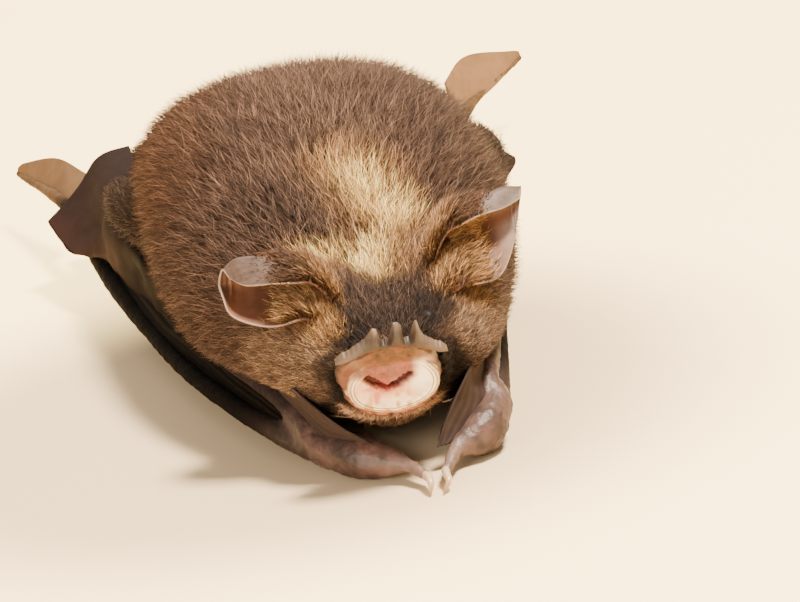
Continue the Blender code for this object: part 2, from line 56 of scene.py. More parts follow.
# The coat's outer surface, one ring for each station, from the muzzle's flat front to the tail's root.
Station = namedtuple("Station", "x back_y back_z belly_y belly_z wide level below_right below_left depth")
STATIONS = (
    Station(-0.3, -23.6, 8.0, -22.0, 3.4, 2.9, 0.50, 2.0, 2.0, 0.35),
    Station(-0.2, -22.9, 8.5, -21.5, 2.3, 4.2, 0.50, 1.5, 1.5, 0.75),
    Station(-0.1, -21.6, 9.0, -20.6, 1.9, 5.6, 0.48, 1.3, 1.1, 1.05),
    Station(-0.2, -19.2, 9.8, -18.2, 1.7, 7.0, 0.46, 1.2, 1.1, 1.4),
    Station(-0.4, -15.8, 11.2, -14.0, 1.5, 8.6, 0.43, 1.4, 1.2, 2.0),
    Station(-0.6, -11.8, 12.9, -9.5, 1.2, 10.0, 0.42, 1.8, 1.5, 2.6),
    Station(-0.5, -6.2, 14.8, -5.0, 0.8, 10.9, 0.46, 1.9, 1.7, 3.1),
    Station(-0.6, 0.0, 16.0, 0.0, 0.5, 11.0, 0.52, 1.9, 1.9, 3.3),
    Station(-0.8, 6.0, 15.7, 5.0, 0.4, 10.6, 0.56, 1.9, 1.9, 3.3),
    Station(-0.9, 12.0, 14.4, 10.0, 0.4, 9.8, 0.56, 1.9, 1.9, 3.2),
    Station(-0.7, 17.6, 11.8, 15.0, 0.6, 8.2, 0.50, 1.9, 1.9, 2.8),
    Station(-0.3, 22.0, 8.6, 19.0, 1.0, 6.0, 0.50, 1.9, 1.9, 2.0),
    Station(0.0, 24.6, 5.6, 22.0, 1.6, 3.4, 0.50, 2.0, 2.0, 1.0),
    Station(0.0, 25.4, 4.4, 23.4, 2.4, 1.5, 0.50, 2.0, 2.0, 0.4),
)
LAST = len(STATIONS) - 1
ABOVE = 2.3  # superellipse exponent of every ring's upper half
BELLY_SHARE = 0.56  # the coat's depth under the belly over its depth on the back

Side = namedtuple("Side", "name sign")
SIDES = (Side("right", -1), Side("left", 1))

# One folded wing. Its points have x counted outwards from the bat's middle plane.
Wing = namedtuple(
    "Wing", "shoulder elbow forearm wrist thumb claw finger knuckle corner tip fan web fold crest lap"
)
WINGS = {
    "right": Wing(
        shoulder=(7.4, -5.5, 8.2),
        elbow=(12.0, 15.5, 5.2),
        forearm=((8.9, -4.0, 3.6), (6.1, -15.0, 2.9), (5.0, -19.0, 2.1)),
        wrist=((4.3, -20.3, 1.3), (2.7, -22.2, 1.28), (0.9, -23.7, 1.05)),
        thumb=((0.4, -24.2, 1.05), (-0.1, -25.0, 0.9), (-0.4, -25.5, 0.75)),
        claw=((-0.5, -26.1, 0.8), (-0.5, -26.6, 0.6), (-0.4, -26.9, 0.2)),
        finger=((5.1, -19.5, 1.2), (7.3, -15.0, 1.6), (10.0, -7.0, 1.9), (11.4, 0.0, 2.1)),
        knuckle=(13.1, 10.0, 2.9),
        corner=(14.5, 21.5, 4.1),
        tip=(17.1, 32.5, 3.7),
        fan=((13.0, 24.0, 5.5), (14.5, 27.5, 5.75), (16.4, 31.2, 4.7)),
        web=((2.5, -22.8, 2.5), (3.9, -22.5, 3.7), (4.7, -22.1, 4.6), (5.7, -21.4, 5.6)),
        fold=((14.5, 13.0, 3.7), (15.3, 15.5, 3.6), (16.0, 18.6, 4.6)),
        crest=((10.6, -1.5, 5.6), (11.3, 2.0, 5.9), (12.2, 9.5, 6.6), (12.2, 14.0, 7.2), (12.2, 19.5, 7.8)),
        lap=((9.8, -1.5, 5.0), (10.2, 2.0, 5.4), (10.6, 9.5, 6.4), (10.2, 14.0, 8.2), (10.2, 19.5, 8.15)),
    ),
    "left": Wing(
        shoulder=(7.2, -5.5, 8.2),
        elbow=(11.2, 15.0, 4.6),
        forearm=((8.8, -4.0, 5.2), (6.5, -15.5, 4.8), (5.2, -19.6, 3.1)),
        wrist=((5.3, -20.8, 2.1), (4.2, -22.3, 1.35), (2.9, -23.3, 1.2)),
        thumb=((2.5, -23.7, 1.2), (1.9, -24.8, 0.9), (1.55, -25.4, 0.75)),
        claw=((1.5, -25.9, 0.8), (1.5, -26.6, 0.6), (1.1, -27.0, 0.2)),
        finger=((5.7, -19.3, 1.0), (6.6, -15.0, 2.3), (8.1, -7.0, 2.3), (9.7, 0.0, 2.2)),
        knuckle=(11.3, 10.0, 2.4),
        corner=(11.2, 22.0, 4.7),
        tip=(17.2, 33.2, 4.9),
        fan=((10.8, 24.0, 7.0), (12.8, 27.5, 7.4), (16.2, 32.0, 5.8)),
        web=((1.5, -23.5, 1.4), (1.9, -23.3, 2.3), (2.8, -22.9, 3.6), (3.7, -22.5, 4.7), (5.2, -20.8, 6.0)),
        fold=((12.8, 13.0, 3.9), (13.4, 14.8, 4.1)),
        crest=((8.2, 0.0, 3.4), (9.6, 6.0, 4.6), (11.7, 11.5, 6.7), (10.6, 16.8, 6.4)),
        lap=((7.2, 0.0, 3.6), (8.4, 6.0, 4.8), (10.2, 11.5, 6.7), (9.2, 16.8, 6.6)),
    ),
}
BONE = 0.58  # radius of a finger, and of the skin round it

# One ear is a scoop with its opening forwards. Four curves run from its base to its tip: the upper
# rim, the crest of its roof, its back wall and the lower rim.
Ear = namedtuple("Ear", "upper crest back lower")
EARS = {
    "right": Ear(
        upper=((-3.9, -20.4, 11.2), (-5.5, -20.1, 11.35), (-7.1, -19.5, 11.35), (-7.9, -18.6, 11.65)),
        crest=((-3.9, -18.5, 11.7), (-5.5, -18.3, 12.3), (-7.2, -18.0, 12.5), (-8.15, -17.9, 11.95)),
        back=((-3.9, -17.2, 10.0), (-5.6, -17.0, 10.4), (-7.5, -17.1, 10.7), (-8.45, -17.8, 11.2)),
        lower=((-4.4, -20.6, 9.2), (-6.3, -20.2, 9.0), (-8.1, -19.4, 9.7), (-8.45, -18.6, 10.8)),
    ),
    "left": Ear(
        upper=((4.8, -18.6, 12.0), (6.3, -18.3, 12.35), (7.9, -17.6, 12.3), (8.9, -17.1, 12.5)),
        crest=((5.2, -17.0, 12.5), (6.7, -16.8, 12.9), (8.1, -16.5, 13.1), (9.2, -16.2, 12.85)),
        back=((5.0, -16.4, 10.9), (6.7, -16.0, 11.1), (8.3, -15.8, 11.5), (9.0, -15.9, 11.7)),
        lower=((4.7, -20.0, 9.05), (6.9, -19.0, 8.9), (8.2, -17.5, 10.2), (8.4, -17.0, 10.6)),
    ),
}

FACE_TILT = 20.0  # degrees that the noseleaf faces below the level
FACE_ROLL = 5.0  # degrees that it is turned in its own plane, its left end down
FACE = (-0.52, -23.7, 6.02)  # middle of the noseleaf's back
EYE = (2.45, -21.5, 8.4)
EYE_RADIUS = 0.55
EYE_LOOK = (0.35, -0.55, 0.75)  # out of the left eye

TAIL = ((0.0, 24.8, 3.5), (0.0, 28.0, 2.0), (-0.2, 32.0, 0.9), (-1.4, 35.8, 0.5), (-3.8, 38.2, 0.4))
TAIL_RADII = (0.95, 0.8, 0.62, 0.45, 0.25)


# ---------------------------------------------------------------- curves and noise


def unit(v):
    v = np.asarray(v, float)
    return v / np.maximum(np.linalg.norm(v, axis=-1, keepdims=True), 1e-9)


def padded_rows(points):
    p = np.asarray(points, float)
    return np.vstack([2 * p[0] - p[1], p, 2 * p[-1] - p[-2]])


def spline_values(padded, t):
    """Values at every t of a Catmull-Rom curve whose first and last rows are only guides."""
    t = np.atleast_1d(np.asarray(t, float))
    i = np.clip(t.astype(int), 0, len(padded) - 4)
    f = (t - i)[:, None]
    a, b, c, d = padded[i], padded[i + 1], padded[i + 2], padded[i + 3]
    return b + 0.5 * f * (c - a + f * (2 * a - 5 * b + 4 * c - d + f * (3 * (b - c) + d - a)))


def smooth_path(points, count):
    rows = padded_rows(points)
    return spline_values(rows, np.linspace(0, len(rows) - 3, count))


def power(value, exponent):
    return np.sign(value) * np.abs(value) ** exponent


def smooth_step(low, high, value):
    share = np.clip((np.asarray(value, float) - low) / (high - low), 0, 1)
    return share * share * (3 - 2 * share)


def mixed(first, second, share):
    share = np.asarray(share)[..., None]
    return np.asarray(first) * (1 - share) + np.asarray(second) * share


def layered(colour, *layers):
    """The colour with others laid over it in turn, each given with its share."""
    for tone, share in layers:
        colour = mixed(colour, tone, share)
    return colour


def sheet_shares(rows, columns):
    """How far down and how far across a grid each of its points is, from 0 to 1."""
    down = np.linspace(0, 1, rows)[:, None] + np.zeros((1, columns))
    return down, np.zeros((rows, 1)) + np.linspace(0, 1, columns)[None]


def full_turn(count):
    """Angles spread evenly round a whole turn."""
    return np.linspace(0, 2 * math.pi, count, endpoint=False)


def sheet_normal(grid):
    """The direction square to a sheet at each of its points."""
    return unit(np.cross(np.gradient(grid, axis=0), np.gradient(grid, axis=1)))


def lattice(i, j, k, seed):
    """A repeatable value from -1 to 1 for each whole-numbered place."""
    n = (i * 374761393 + j * 668265263 + k * 1440662683 + seed * 1274126177) & 0xFFFFFFFF
    n = ((n ^ (n >> 13)) * 1274126177) & 0xFFFFFFFF
    return ((n ^ (n >> 16)) & 0xFFFF) / 32767.5 - 1


def noise(points, size, seed=0):
    """Smooth noise from -1 to 1 with features about size millimetres across."""
    q = np.asarray(points, float) / size + 100.0
    i = np.floor(q).astype(np.int64)
    f = q - i
    f = f * f * (3 - 2 * f)
    total = 0.0
    for corner in range(8):
        step = np.array([corner & 1, corner >> 1 & 1, corner >> 2])
        weight = np.prod(np.where(step, f, 1 - f), axis=-1)
        at = i + step
        total = total + weight * lattice(at[..., 0], at[..., 1], at[..., 2], seed)
    return total


def placed(points):
    """Design millimetres to the frame's metres."""
    return (np.asarray(points, float) - (0, MIDDLE_Y, 0)) * MM


def at_side(side, points):
    """Points of one side, whose x is counted outwards, in the bat's own frame."""
    return np.array(points, float) * (side.sign, 1, 1)


def shifted(points, by):
    return np.array(points, float) + by


def part_way(start, end, share):
    return (1 - share) * np.array(start) + share * np.array(end)


# ---------------------------------------------------------------- body surface

ROWS = 261
COLUMNS = 240
# Where the fur stands higher round an ear's base, and by how much.
MOUNDS = (((-3.9, -18.7), 1.75), ((5.0, -17.3), 2.2))


def mounds(points):
    """How much higher the fur stands where it closes round the ears' bases."""
    total = np.zeros(points.shape[:-1])
    for (x, y), tall in MOUNDS:
        off = (points[..., 0] - x) * np.sign(x)
        off = np.where(off > 0, off / 1.25, off / 2.4)
        total = total + tall * np.exp(-(off**2) - ((points[..., 1] - y) / 1.9) ** 2)
    return total


def body_grid():
    """The coat's outer surface and the skin under it, as (rows, columns, 3) grids.

    A row is a ring at one station. Its angle starts at the bat's left and goes over the back.
    """
    t = np.linspace(0, LAST, ROWS)
    values = spline_values(padded_rows(STATIONS), t)
    s = Station(*[values[:, [i]] for i in range(values.shape[1])])
    angle = full_turn(COLUMNS)[None]
    back = np.concatenate([s.x, s.back_y, s.back_z], axis=1)
    belly = np.concatenate([s.x, s.belly_y, s.belly_z], axis=1)
    upright = unit(back - belly)
    middle = belly + (back - belly) * s.level
    above = np.linalg.norm(back - middle, axis=1, keepdims=True)
    below = np.linalg.norm(middle - belly, axis=1, keepdims=True)
    upper = np.sin(angle) >= 0
    low_exponent = np.where(np.cos(angle) < 0, s.below_right, s.below_left)
    exponent = 2 / np.where(upper, ABOVE, low_exponent)
    across = power(np.cos(angle), exponent)
    height = power(np.sin(angle), exponent)
    grids = []
    for inset in (0, 1):
        share = (1 + BELLY_SHARE) / 2 + (1 - BELLY_SHARE) / 2 * np.sin(angle)
        deep = inset * s.depth * share
        wide = (s.wide - deep) * across
        high = (np.where(upper, above, below) - deep) * height
        grid = middle[:, None] + wide[..., None] * (1, 0, 0) + high[..., None] * upright[:, None]
        grid[..., 2] += mounds(grid) * smooth_step(-0.1, 0.4, np.sin(angle)) * (1 - 0.45 * inset)
        # The skin's ends draw in under the coat's ends.
        front = inset * 0.5 * np.clip(1 - t, 0, 1)
        rear = inset * 1.2 * np.clip(t - LAST + 1, 0, 1)
        grid[..., 1] += (front - rear)[:, None]
        grids.append(grid)
    return grids


OUTER, INNER = body_grid()


def on_grid(grid, t, angle):
    """A point for each station count and angle, between the grid's own points."""
    r = np.clip(np.asarray(t) / LAST, 0, 1) * (ROWS - 1)
    c = np.mod(np.asarray(angle) / (2 * math.pi), 1) * COLUMNS
    r0 = np.minimum(r.astype(int), ROWS - 2)
    c0 = c.astype(int) % COLUMNS
    c1 = (c0 + 1) % COLUMNS
    fr = (r - r0)[:, None]
    fc = (c - np.floor(c))[:, None]
    low = grid[r0, c0] * (1 - fc) + grid[r0, c1] * fc
    high = grid[r0 + 1, c0] * (1 - fc) + grid[r0 + 1, c1] * fc
    return low * (1 - fr) + high * fr


def in_coat(t, angle, height):
    """A point in the coat: height is 0 on the skin and 1 at the coat's outer surface."""
    height = np.asarray(height)[:, None]
    return on_grid(INNER, t, angle) * (1 - height) + on_grid(OUTER, t, angle) * height


# ---------------------------------------------------------------- markings


def srgb(*channels):
    """A colour given as 0-255 display values, made linear."""
    c = np.array(channels, float) / 255
    return np.where(c <= 0.04045, c / 12.92, ((c + 0.055) / 1.055) ** 2.4)


BROWN = srgb(84, 61, 48)
RUST = srgb(98, 66, 46)
DARK = srgb(40, 27, 20)
CREAM = srgb(232, 186, 112)
GOLD = srgb(156, 112, 68)
CHEEK = srgb(146, 114, 88)
PALE_CHIN = srgb(168, 128, 104)
ROOT = srgb(34, 23, 17)


def streak(points, start, end, radius, edge=0.5):
    """1 round the line between two points, falling to 0 over its soft edge."""
    start, end = np.array(start), np.array(end)
    run = end - start
    along = np.clip((points - start) @ run / max(run @ run, 1e-9), 0, 1)
    away = np.linalg.norm(points - start - along[:, None] * run, axis=1) / radius
    return 1 - smooth_step(1 - edge, 1 + edge, away)


def streaked(colour, points, streaks):
    """The colour with soft lines laid over it, each a tone, its share, and what streak() takes."""
    for tone, share, *line in streaks:
        colour = mixed(colour, tone, share * streak(points, *line))
    return colour


BACK_STREAKS = ((RUST, 0.55, (-9.0, -2.0, 12.5), (-7.5, 8.0, 13.5), 3.2),)
# The bands over the brow and between the eyes, behind the rear leaf, are painted shade.
FACE_STREAKS = (
    (DARK, 0.35, (-2.2, -13.0, 12.3), (-5.5, -9.0, 13.0), 1.8),
    (DARK, 0.72, (-1.1, -20.3, 9.3), (1.6, -19.6, 9.5), 2.1),
    (DARK * 0.8, 0.85, (-1.9, -22.3, 8.3), (1.5, -22.2, 8.3), 1.2),
)
PALE_STREAKS = (
    (GOLD, 0.85, (-3.5, -19.6, 10.8), (-3.6, -21.0, 9.2), 1.3),
    (GOLD, 0.85, (5.1, -18.0, 11.3), (5.2, -19.4, 9.4), 1.5),
    (PALE_CHIN, 0.8, (-2.2, -22.2, 2.9), (1.6, -22.2, 2.9), 1.3),
    (GOLD, 0.6, (0.5, -8.5, 14.0), (2.2, -13.8, 12.0), 2.3, 0.7),
    (GOLD, 0.55, (-3.8, -15.6, 11.2), (1.4, -16.8, 10.9), 1.5, 0.7),
    (CREAM, 0.9, (1.0, -10.0, 13.4), (2.5, -13.2, 12.1), 1.2, 0.7),
    (CREAM, 0.85, (-3.7, -15.4, 11.2), (-1.9, -15.5, 11.2), 0.65, 0.6),
    (CREAM, 0.85, (-0.1, -17.2, 10.7), (0.7, -15.6, 11.3), 0.95, 0.6),
    (DARK, 0.65, (-1.3, -16.0, 11.1), (-1.1, -16.4, 11.0), 0.42),
)


def markings(points):
    """The coat's colour at points on its outer surface, with painted shade at the eyes, brow and noseleaf."""
    p = points + np.stack([noise(points, 1.3, s) for s in (11, 12, 13)], axis=1) * 0.6
    p = p + np.stack([noise(points, 0.5, s) for s in (14, 15, 16)], axis=1) * 0.25
    colour = streaked(BROWN, p, BACK_STREAKS)
    colour = mixed(colour, DARK, 0.35 * smooth_step(2.0, 6.5, p[:, 0]) * smooth_step(7.0, 11.0, p[:, 2]))
    colour = streaked(colour, p, FACE_STREAKS)
    for side in SIDES:
        low = streak(p, (side.sign * 6.6, -18.6, 6.8), (side.sign * 4.9, -21.0, 6.9), 2.0)
        colour = mixed(colour, CHEEK, 0.75 * low)
        # Painted shade: the fur goes dark round each eye's hollow and in the recess beside the noseleaf.
        ring = streak(p, (side.sign * 2.1, -22.3, 8.2), (side.sign * 2.8, -21.4, 8.7), 1.1)
        beside = streak(p, (side.sign * 3.4 - 0.3, -22.8, 7.0), (side.sign * 3.4 - 0.3, -22.6, 3.4), 0.95)
        colour = mixed(colour, DARK * 0.5, 0.9 * np.maximum(ring, beside))
    colour = mixed(colour, DARK, 0.35 * smooth_step(2.5, 5.0, p[:, 0]) * smooth_step(-16.0, -19.0, p[:, 1]))
    colour = streaked(colour, p, PALE_STREAKS)
    shade = 1 + 0.13 * noise(points, 4.0, 3) + 0.10 * noise(points, 1.5, 4)
    return colour * shade[:, None]


# ---------------------------------------------------------------- meshes


def raw_mesh(name, points, corners, sizes, smooth=True):
    """A mesh object from arrays: corner indices of all faces in a row, and each face's corner count."""
    mesh = bpy.data.meshes.new(name)
    mesh.vertices.add(len(points))
    mesh.vertices.foreach_set("co", placed(points).ravel())
    mesh.loops.add(len(corners))
    mesh.loops.foreach_set("vertex_index", np.asarray(corners, np.int32))
    starts = np.concatenate([[0], np.cumsum(sizes)[:-1]]).astype(np.int32)
    mesh.polygons.add(len(sizes))
    mesh.polygons.foreach_set("loop_start", starts)
    mesh.polygons.foreach_set("use_smooth", np.full(len(sizes), smooth))
    mesh.update(calc_edges=True)
    obj = bpy.data.objects.new(name, mesh)
    bpy.context.scene.collection.objects.link(obj)
    return obj


def paint(obj, colours, name="tone"):
    """Stores a colour for each vertex."""
    layer = obj.data.color_attributes.new(name=name, type="FLOAT_COLOR", domain="POINT")
    rgba = np.ones((len(obj.data.vertices), 4))
    rgba[:, :3] = np.clip(colours, 0, 1).reshape(-1, 3)
    layer.data.foreach_set("color", rgba.ravel())


def finish_piece(obj, finish, slot, *replaced):
    obj.data.materials.append(finish)
    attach(obj, "root")
    if replaced:
        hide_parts(*replaced)


# ---------------------------------------------------------------- materials


SKIN_GLOW = (0.0006, 0.0003, 0.0002)  # how far red, green and blue light spreads under bare skin


def set_inputs(node, values):
    """Sets sockets named by the values' keys, with underscores for spaces."""
    for socket, value in values.items():
        node.inputs[socket.replace("_", " ")].default_value = value


def new_material(name, **values):
    made = bpy.data.materials.new(name)
    made.use_nodes = True
    set_inputs(made.node_tree.nodes["Principled BSDF"], values)
    return made


def add_node(made, kind, **values):
    node = made.node_tree.nodes.new("ShaderNode" + kind)
    set_inputs(node, values)
    return node


def join(made, output, node, socket):
    made.node_tree.links.new(output, node.inputs[socket])


def join_surface(made, output, socket):
    join(made, output, made.node_tree.nodes["Principled BSDF"], socket)


def toned_material(name, grain=None, **values):
    """A material in the colours of the stored tone, with what add_bump() takes as its grain."""
    made = new_material(name, **values)
    tone = add_node(made, "Attribute")
    tone.attribute_name = "tone"
    join_surface(made, tone.outputs["Color"], "Base Color")
    if grain:
        add_bump(made, *grain)
    return made


def link_gloss(made):
    """Roughness and shine from the stored gloss."""
    gloss = add_node(made, "Attribute")
    gloss.attribute_name = "gloss"
    for socket, dull, shiny in (("Roughness", 0.8, 0.42), ("Specular IOR Level", 0.04, 0.28)):
        between = add_node(made, "MapRange", To_Min=dull, To_Max=shiny)
        join(made, gloss.outputs["Fac"], between, "Value")
        join_surface(made, between.outputs["Result"], socket)


def add_bump(made, scale, strength, distance):
    """Fine grain from noise, with scale features to the metre."""
    where = add_node(made, "TexCoord")
    grain = add_node(made, "TexNoise", Scale=scale, Detail=4.0)
    bump = add_node(made, "Bump", Strength=strength, Distance=distance)
    join(made, where.outputs["Object"], grain, "Vector")
    join(made, grain.outputs["Fac"], bump, "Height")
    join_surface(made, bump.outputs["Normal"], "Normal")


# ---------------------------------------------------------------- coat

STRANDS = 114000
PER_PIECE = 18500  # most hairs in a piece
RING = 3  # sides of a hair
THIN = 0.017  # radius of the thinnest hairs' roots, before they vary
STOUT = 0.03  # the same of the stoutest
TIP = 0.15  # radius of a hair's tip over its root's
REACH = (0.18, 0.44)  # how far tips lie from their roots along the skin, over the coat's depth
PALE_TIPS = 0.32  # share of the hairs
LOCK = 9  # hairs in a lock, about
DRAWN = 0.35  # how far towards its lock's middle a tip is drawn at most
EYE_CLEAR = 0.3  # radius that the fur leaves free before each eye
BODY_SHARE = 0.86  # of the unrolled skin's height, below the strips of the limbs and ears


def density(t, angle):
    """Hairs per area, over the back's: denser where they are short, sparse where nothing shows."""
    value = 1 + 2.6 * smooth_step(4.6, 2.0, t)
    belly = smooth_step(0.2, 0.75, -np.sin(angle))
    rear = smooth_step(8.0, 9.5, t)
    return value * (1 - 0.6 * belly * smooth_step(2.5, 4.5, t)) * (1 - 0.25 * rear)


def scatter(rng, count):
    """Roots spread over the skin, as stations and angles."""
    down = np.linalg.norm(np.diff(OUTER, axis=0), axis=2)
    round_ = np.linalg.norm(np.roll(OUTER, -1, axis=1) - OUTER, axis=2)[:-1]
    t = np.linspace(0, LAST, ROWS)[:-1, None] + np.zeros((1, COLUMNS))
    angle = np.zeros((ROWS - 1, 1)) + full_turn(COLUMNS)[None]
    weight = (down * round_ * density(t, angle)).ravel()
    cell = rng.choice(weight.size, size=count, p=weight / weight.sum())
    t = t.ravel()[cell] + rng.random(count) * LAST / (ROWS - 1)
    angle = angle.ravel()[cell] + rng.random(count) * 2 * math.pi / COLUMNS
    return t, angle


def sideways(t, angle, points):
    """How far the hairs lean round the body, over how far they lean tailwards."""
    off_back = np.mod(angle - math.pi / 2 + math.pi, 2 * math.pi) - math.pi
    share = 0.75 * np.sin(np.clip(off_back * 1.1, -math.pi / 2, math.pi / 2)) * smooth_step(3.0, 5.0, t)
    share = share * smooth_step(-1.0, 0.1, np.sin(angle) + 0.3)
    sway = 0.40 * noise(points, 3.0, 21) + 0.35 * noise(points, 1.1, 22)
    return share + sway


def hair_tones(base, rng, vary=1.0):
    """Each hair's colours at its root, middle and tip: dark, apart from a third with much paler tips."""
    count = len(base)
    vary = (np.exp(rng.normal(-0.05, 0.3, count)) * vary).clip(0.3, 2.2)[:, None]
    bright = (rng.random(count) < PALE_TIPS)[:, None]
    light = np.where(bright, rng.uniform(0.8, 2.2, (count, 1)), rng.uniform(-0.55, -0.05, (count, 1)))
    pale = smooth_step(0.25, 0.7, base[:, :1])
    root = ROOT * (1 - pale) + base * pale * 0.6
    middle = base * vary * np.where(bright, 0.5, 0.42) * (1 + 0.3 * pale)
    tip = base * vary * (1 + light) + np.where(bright, 0.018, 0.0)
    return np.stack([root, middle, tip], axis=1)


def eye_clear(points):
    """False for points that would stand before an eye."""
    keep = np.ones(len(points), bool)
    for side in SIDES:
        eye, look = eye_frame(side)
        away = points - eye
        off = np.linalg.norm(away - (away @ look)[:, None] * look, axis=1)
        keep &= (off > EYE_CLEAR) | (away @ look < -1.0)
    return keep


def grow_coat():
    """The body's hairs: their places on the unrolled skin, paths, radii and colours."""
    rng = np.random.default_rng(7)
    t, angle = scatter(rng, STRANDS)
    skin = on_grid(INNER, t, angle)
    outer = on_grid(OUTER, t, angle)
    keep = eye_clear(outer)
    t, angle, skin, outer = t[keep], angle[keep], skin[keep], outer[keep]
    count = len(t)
    depth = np.linalg.norm(outer - skin, axis=1)

    step = 0.05
    along = (on_grid(OUTER, t + step, angle) - on_grid(OUTER, t - step, angle)) / (2 * step)
    about = (on_grid(OUTER, t, angle + step) - on_grid(OUTER, t, angle - step)) / (2 * step)
    per_station = np.maximum(np.linalg.norm(along, axis=1), 1.0)
    per_radian = np.maximum(np.linalg.norm(about, axis=1), 1.0)
    tail = 1 + 0.6 * rng.normal(size=count)
    round_ = sideways(t, angle, outer) + 0.7 * rng.normal(size=count)
    size = np.hypot(tail, round_)
    tail, round_ = tail / size, round_ / size
    reach = depth * rng.uniform(*REACH, count) + 0.2
    dt = reach * tail / per_station
    da = np.clip(reach * round_ / per_radian, -0.5, 0.5)
    height = rng.triangular(0.6, 0.97, 1.05, count)

    # Neighbouring hairs draw together towards their tips.
    tip = in_coat(t + dt, angle + da, height)
    lock, vary = lock_of(tip, rng)
    tip = tip + (lock - tip) * rng.uniform(0.0, DRAWN, count)[:, None] * (1, 1, 0.5)
    tip = tip + rng.normal(size=(count, 3)).clip(-2, 2) * 0.045 * (0.5 + depth[:, None])

    middle = in_coat(t + 0.4 * dt, angle + 0.4 * da, 0.64 * height)
    bend = rng.normal(size=(count, 3)) * 0.08 * depth[:, None]
    path = np.stack([skin + (skin - outer) * 0.04, middle + bend, tip], axis=1)
    thick = np.clip(THIN + 0.004 * depth, THIN, STOUT) * rng.uniform(0.7, 1.3, count)
    radii = np.stack([thick, thick * 0.95, thick * TIP], axis=1)
    spots = np.stack([np.mod(angle / (2 * math.pi), 1), np.clip(t / LAST, 0, 1) * BODY_SHARE], axis=1)
    return spots, path, radii, hair_tones(markings(outer), rng, vary)


def lock_of(points, rng):
    """The middle of the lock that each point belongs to, and the lock's shade."""
    order = rng.permutation(len(points))[: len(points) // LOCK]
    tree = KDTree(len(order))
    for i, where in enumerate(points[order]):
        tree.insert(where, i)
    tree.balance()
    centres = points[order]
    found = np.array([tree.find(p)[1] for p in points])
    shade = rng.normal(1.0, 0.2, len(order)).clip(0.5, 1.6)
    return centres[found], shade[found]


def hairs_on(grid, outwards, weight, count, length, lift, tones, strip, rng, thick=0.02, wild=0.35):
    """Hairs on a grid of points, leaning along its rows' order.

    weight and length are single values or arrays over the grid. tones is a colour, an array of them
    or a function of points. strip is the number of its place on the unrolled skin.
    """
    rows, columns = grid.shape[:2]
    next_row, next_column = np.gradient(grid, axis=0), np.gradient(grid, axis=1)
    area = np.linalg.norm(np.cross(next_row, next_column), axis=2)
    chance = (area * weight).ravel()
    cell = rng.choice(chance.size, size=count, p=chance / chance.sum())
    r, c = np.divmod(cell, columns)
    jitter = rng.uniform(-0.5, 0.5, (2, count, 1))
    root = grid[r, c] + jitter[0] * next_row[r, c] + jitter[1] * next_column[r, c]
    up = outwards[r, c]
    heading = rng.normal(0, wild, count)[:, None]
    lean = unit(next_row)[r, c] * np.cos(heading) + unit(next_column)[r, c] * np.sin(heading)
    rise = lift * rng.uniform(0.6, 1.4, count)[:, None]
    size = (np.broadcast_to(length, (rows, columns))[r, c] * rng.uniform(0.65, 1.2, count))[:, None]
    first = unit(lean * np.cos(rise + 0.35) + up * np.sin(rise + 0.35))
    second = unit(lean * np.cos(rise - 0.2) + up * np.sin(rise - 0.2))
    middle = root + first * size * 0.5
    tip = middle + second * size * 0.5 + rng.normal(size=(count, 3)) * 0.05 * size
    path = np.stack([root - up * 0.05, middle, tip], axis=1)
    path[..., 2] = np.maximum(path[..., 2], 0.03)
    girth = thick * rng.uniform(0.7, 1.3, count)
    radii = np.stack([girth, girth * 0.9, girth * TIP], axis=1)
    u = (r / rows + rng.random(count) / rows).clip(0, 1)
    v = BODY_SHARE + 0.012 + strip * 0.02 + 0.014 * c / columns
    base = tones(root) if callable(tones) else np.broadcast_to(tones, grid.shape)[r, c]
    return np.stack([u, v], axis=1), path, radii, hair_tones(base, rng)


def ear_hairs(rng):
    """Fur over each ear's base, and the golden hairs inside it."""
    made = []
    for number, side in enumerate(SIDES):
        grid, up, u, w = ear_sheet(side, 90)
        roof = smooth_step(0.60, 0.05, u) ** 1.5 * smooth_step(1.0, 0.75, w)
        tone = mixed(BROWN, RUST * 1.25, smooth_step(0.0, 0.5, u))
        tone = mixed(tone, GOLD, 0.6 * smooth_step(0.1, -0.2, u))
        length = 1.35 - 0.95 * smooth_step(-0.1, 0.5, u)
        made.append(hairs_on(grid + up * 0.03, up, roof, 3600, length, 0.45, tone, number, rng, wild=0.5))
        inside = smooth_step(0.40, 0.0, u) * smooth_step(0.10, 0.25, w)
        tone = mixed(GOLD * 1.15, CHEEK, 0.4)
        length = 1.35 - 0.5 * smooth_step(0, 0.4, u)
        made.append(hairs_on(grid - up * 0.03, -up, inside, 2200, length, 0.75, tone, number, rng, wild=0.45))
    return made


def limb_hairs(rng):
    """Fur on the upper arms and thighs, and thin hair on the shanks."""
    made = []

    def shaded(points):
        return markings(points) * 0.6

    for number, side in enumerate(SIDES):
        lines = limb_lines(side)
        for name, count, size in (("upper_arm", 4200, 1.3), ("thigh", 3600, 1.3), ("shank", 260, 0.5)):
            grid = tube_grid(*lines[name], 40)[4:-4]
            along = np.linspace(0, 1, len(grid))[:, None]
            length = size * (1 - 0.55 * smooth_step(0.55, 1.0, along))
            out = unit(grid - grid.mean(axis=1, keepdims=True))
            made.append(hairs_on(grid, out, 1.0, count, length, 0.5, shaded, 2 + number, rng))
    return made


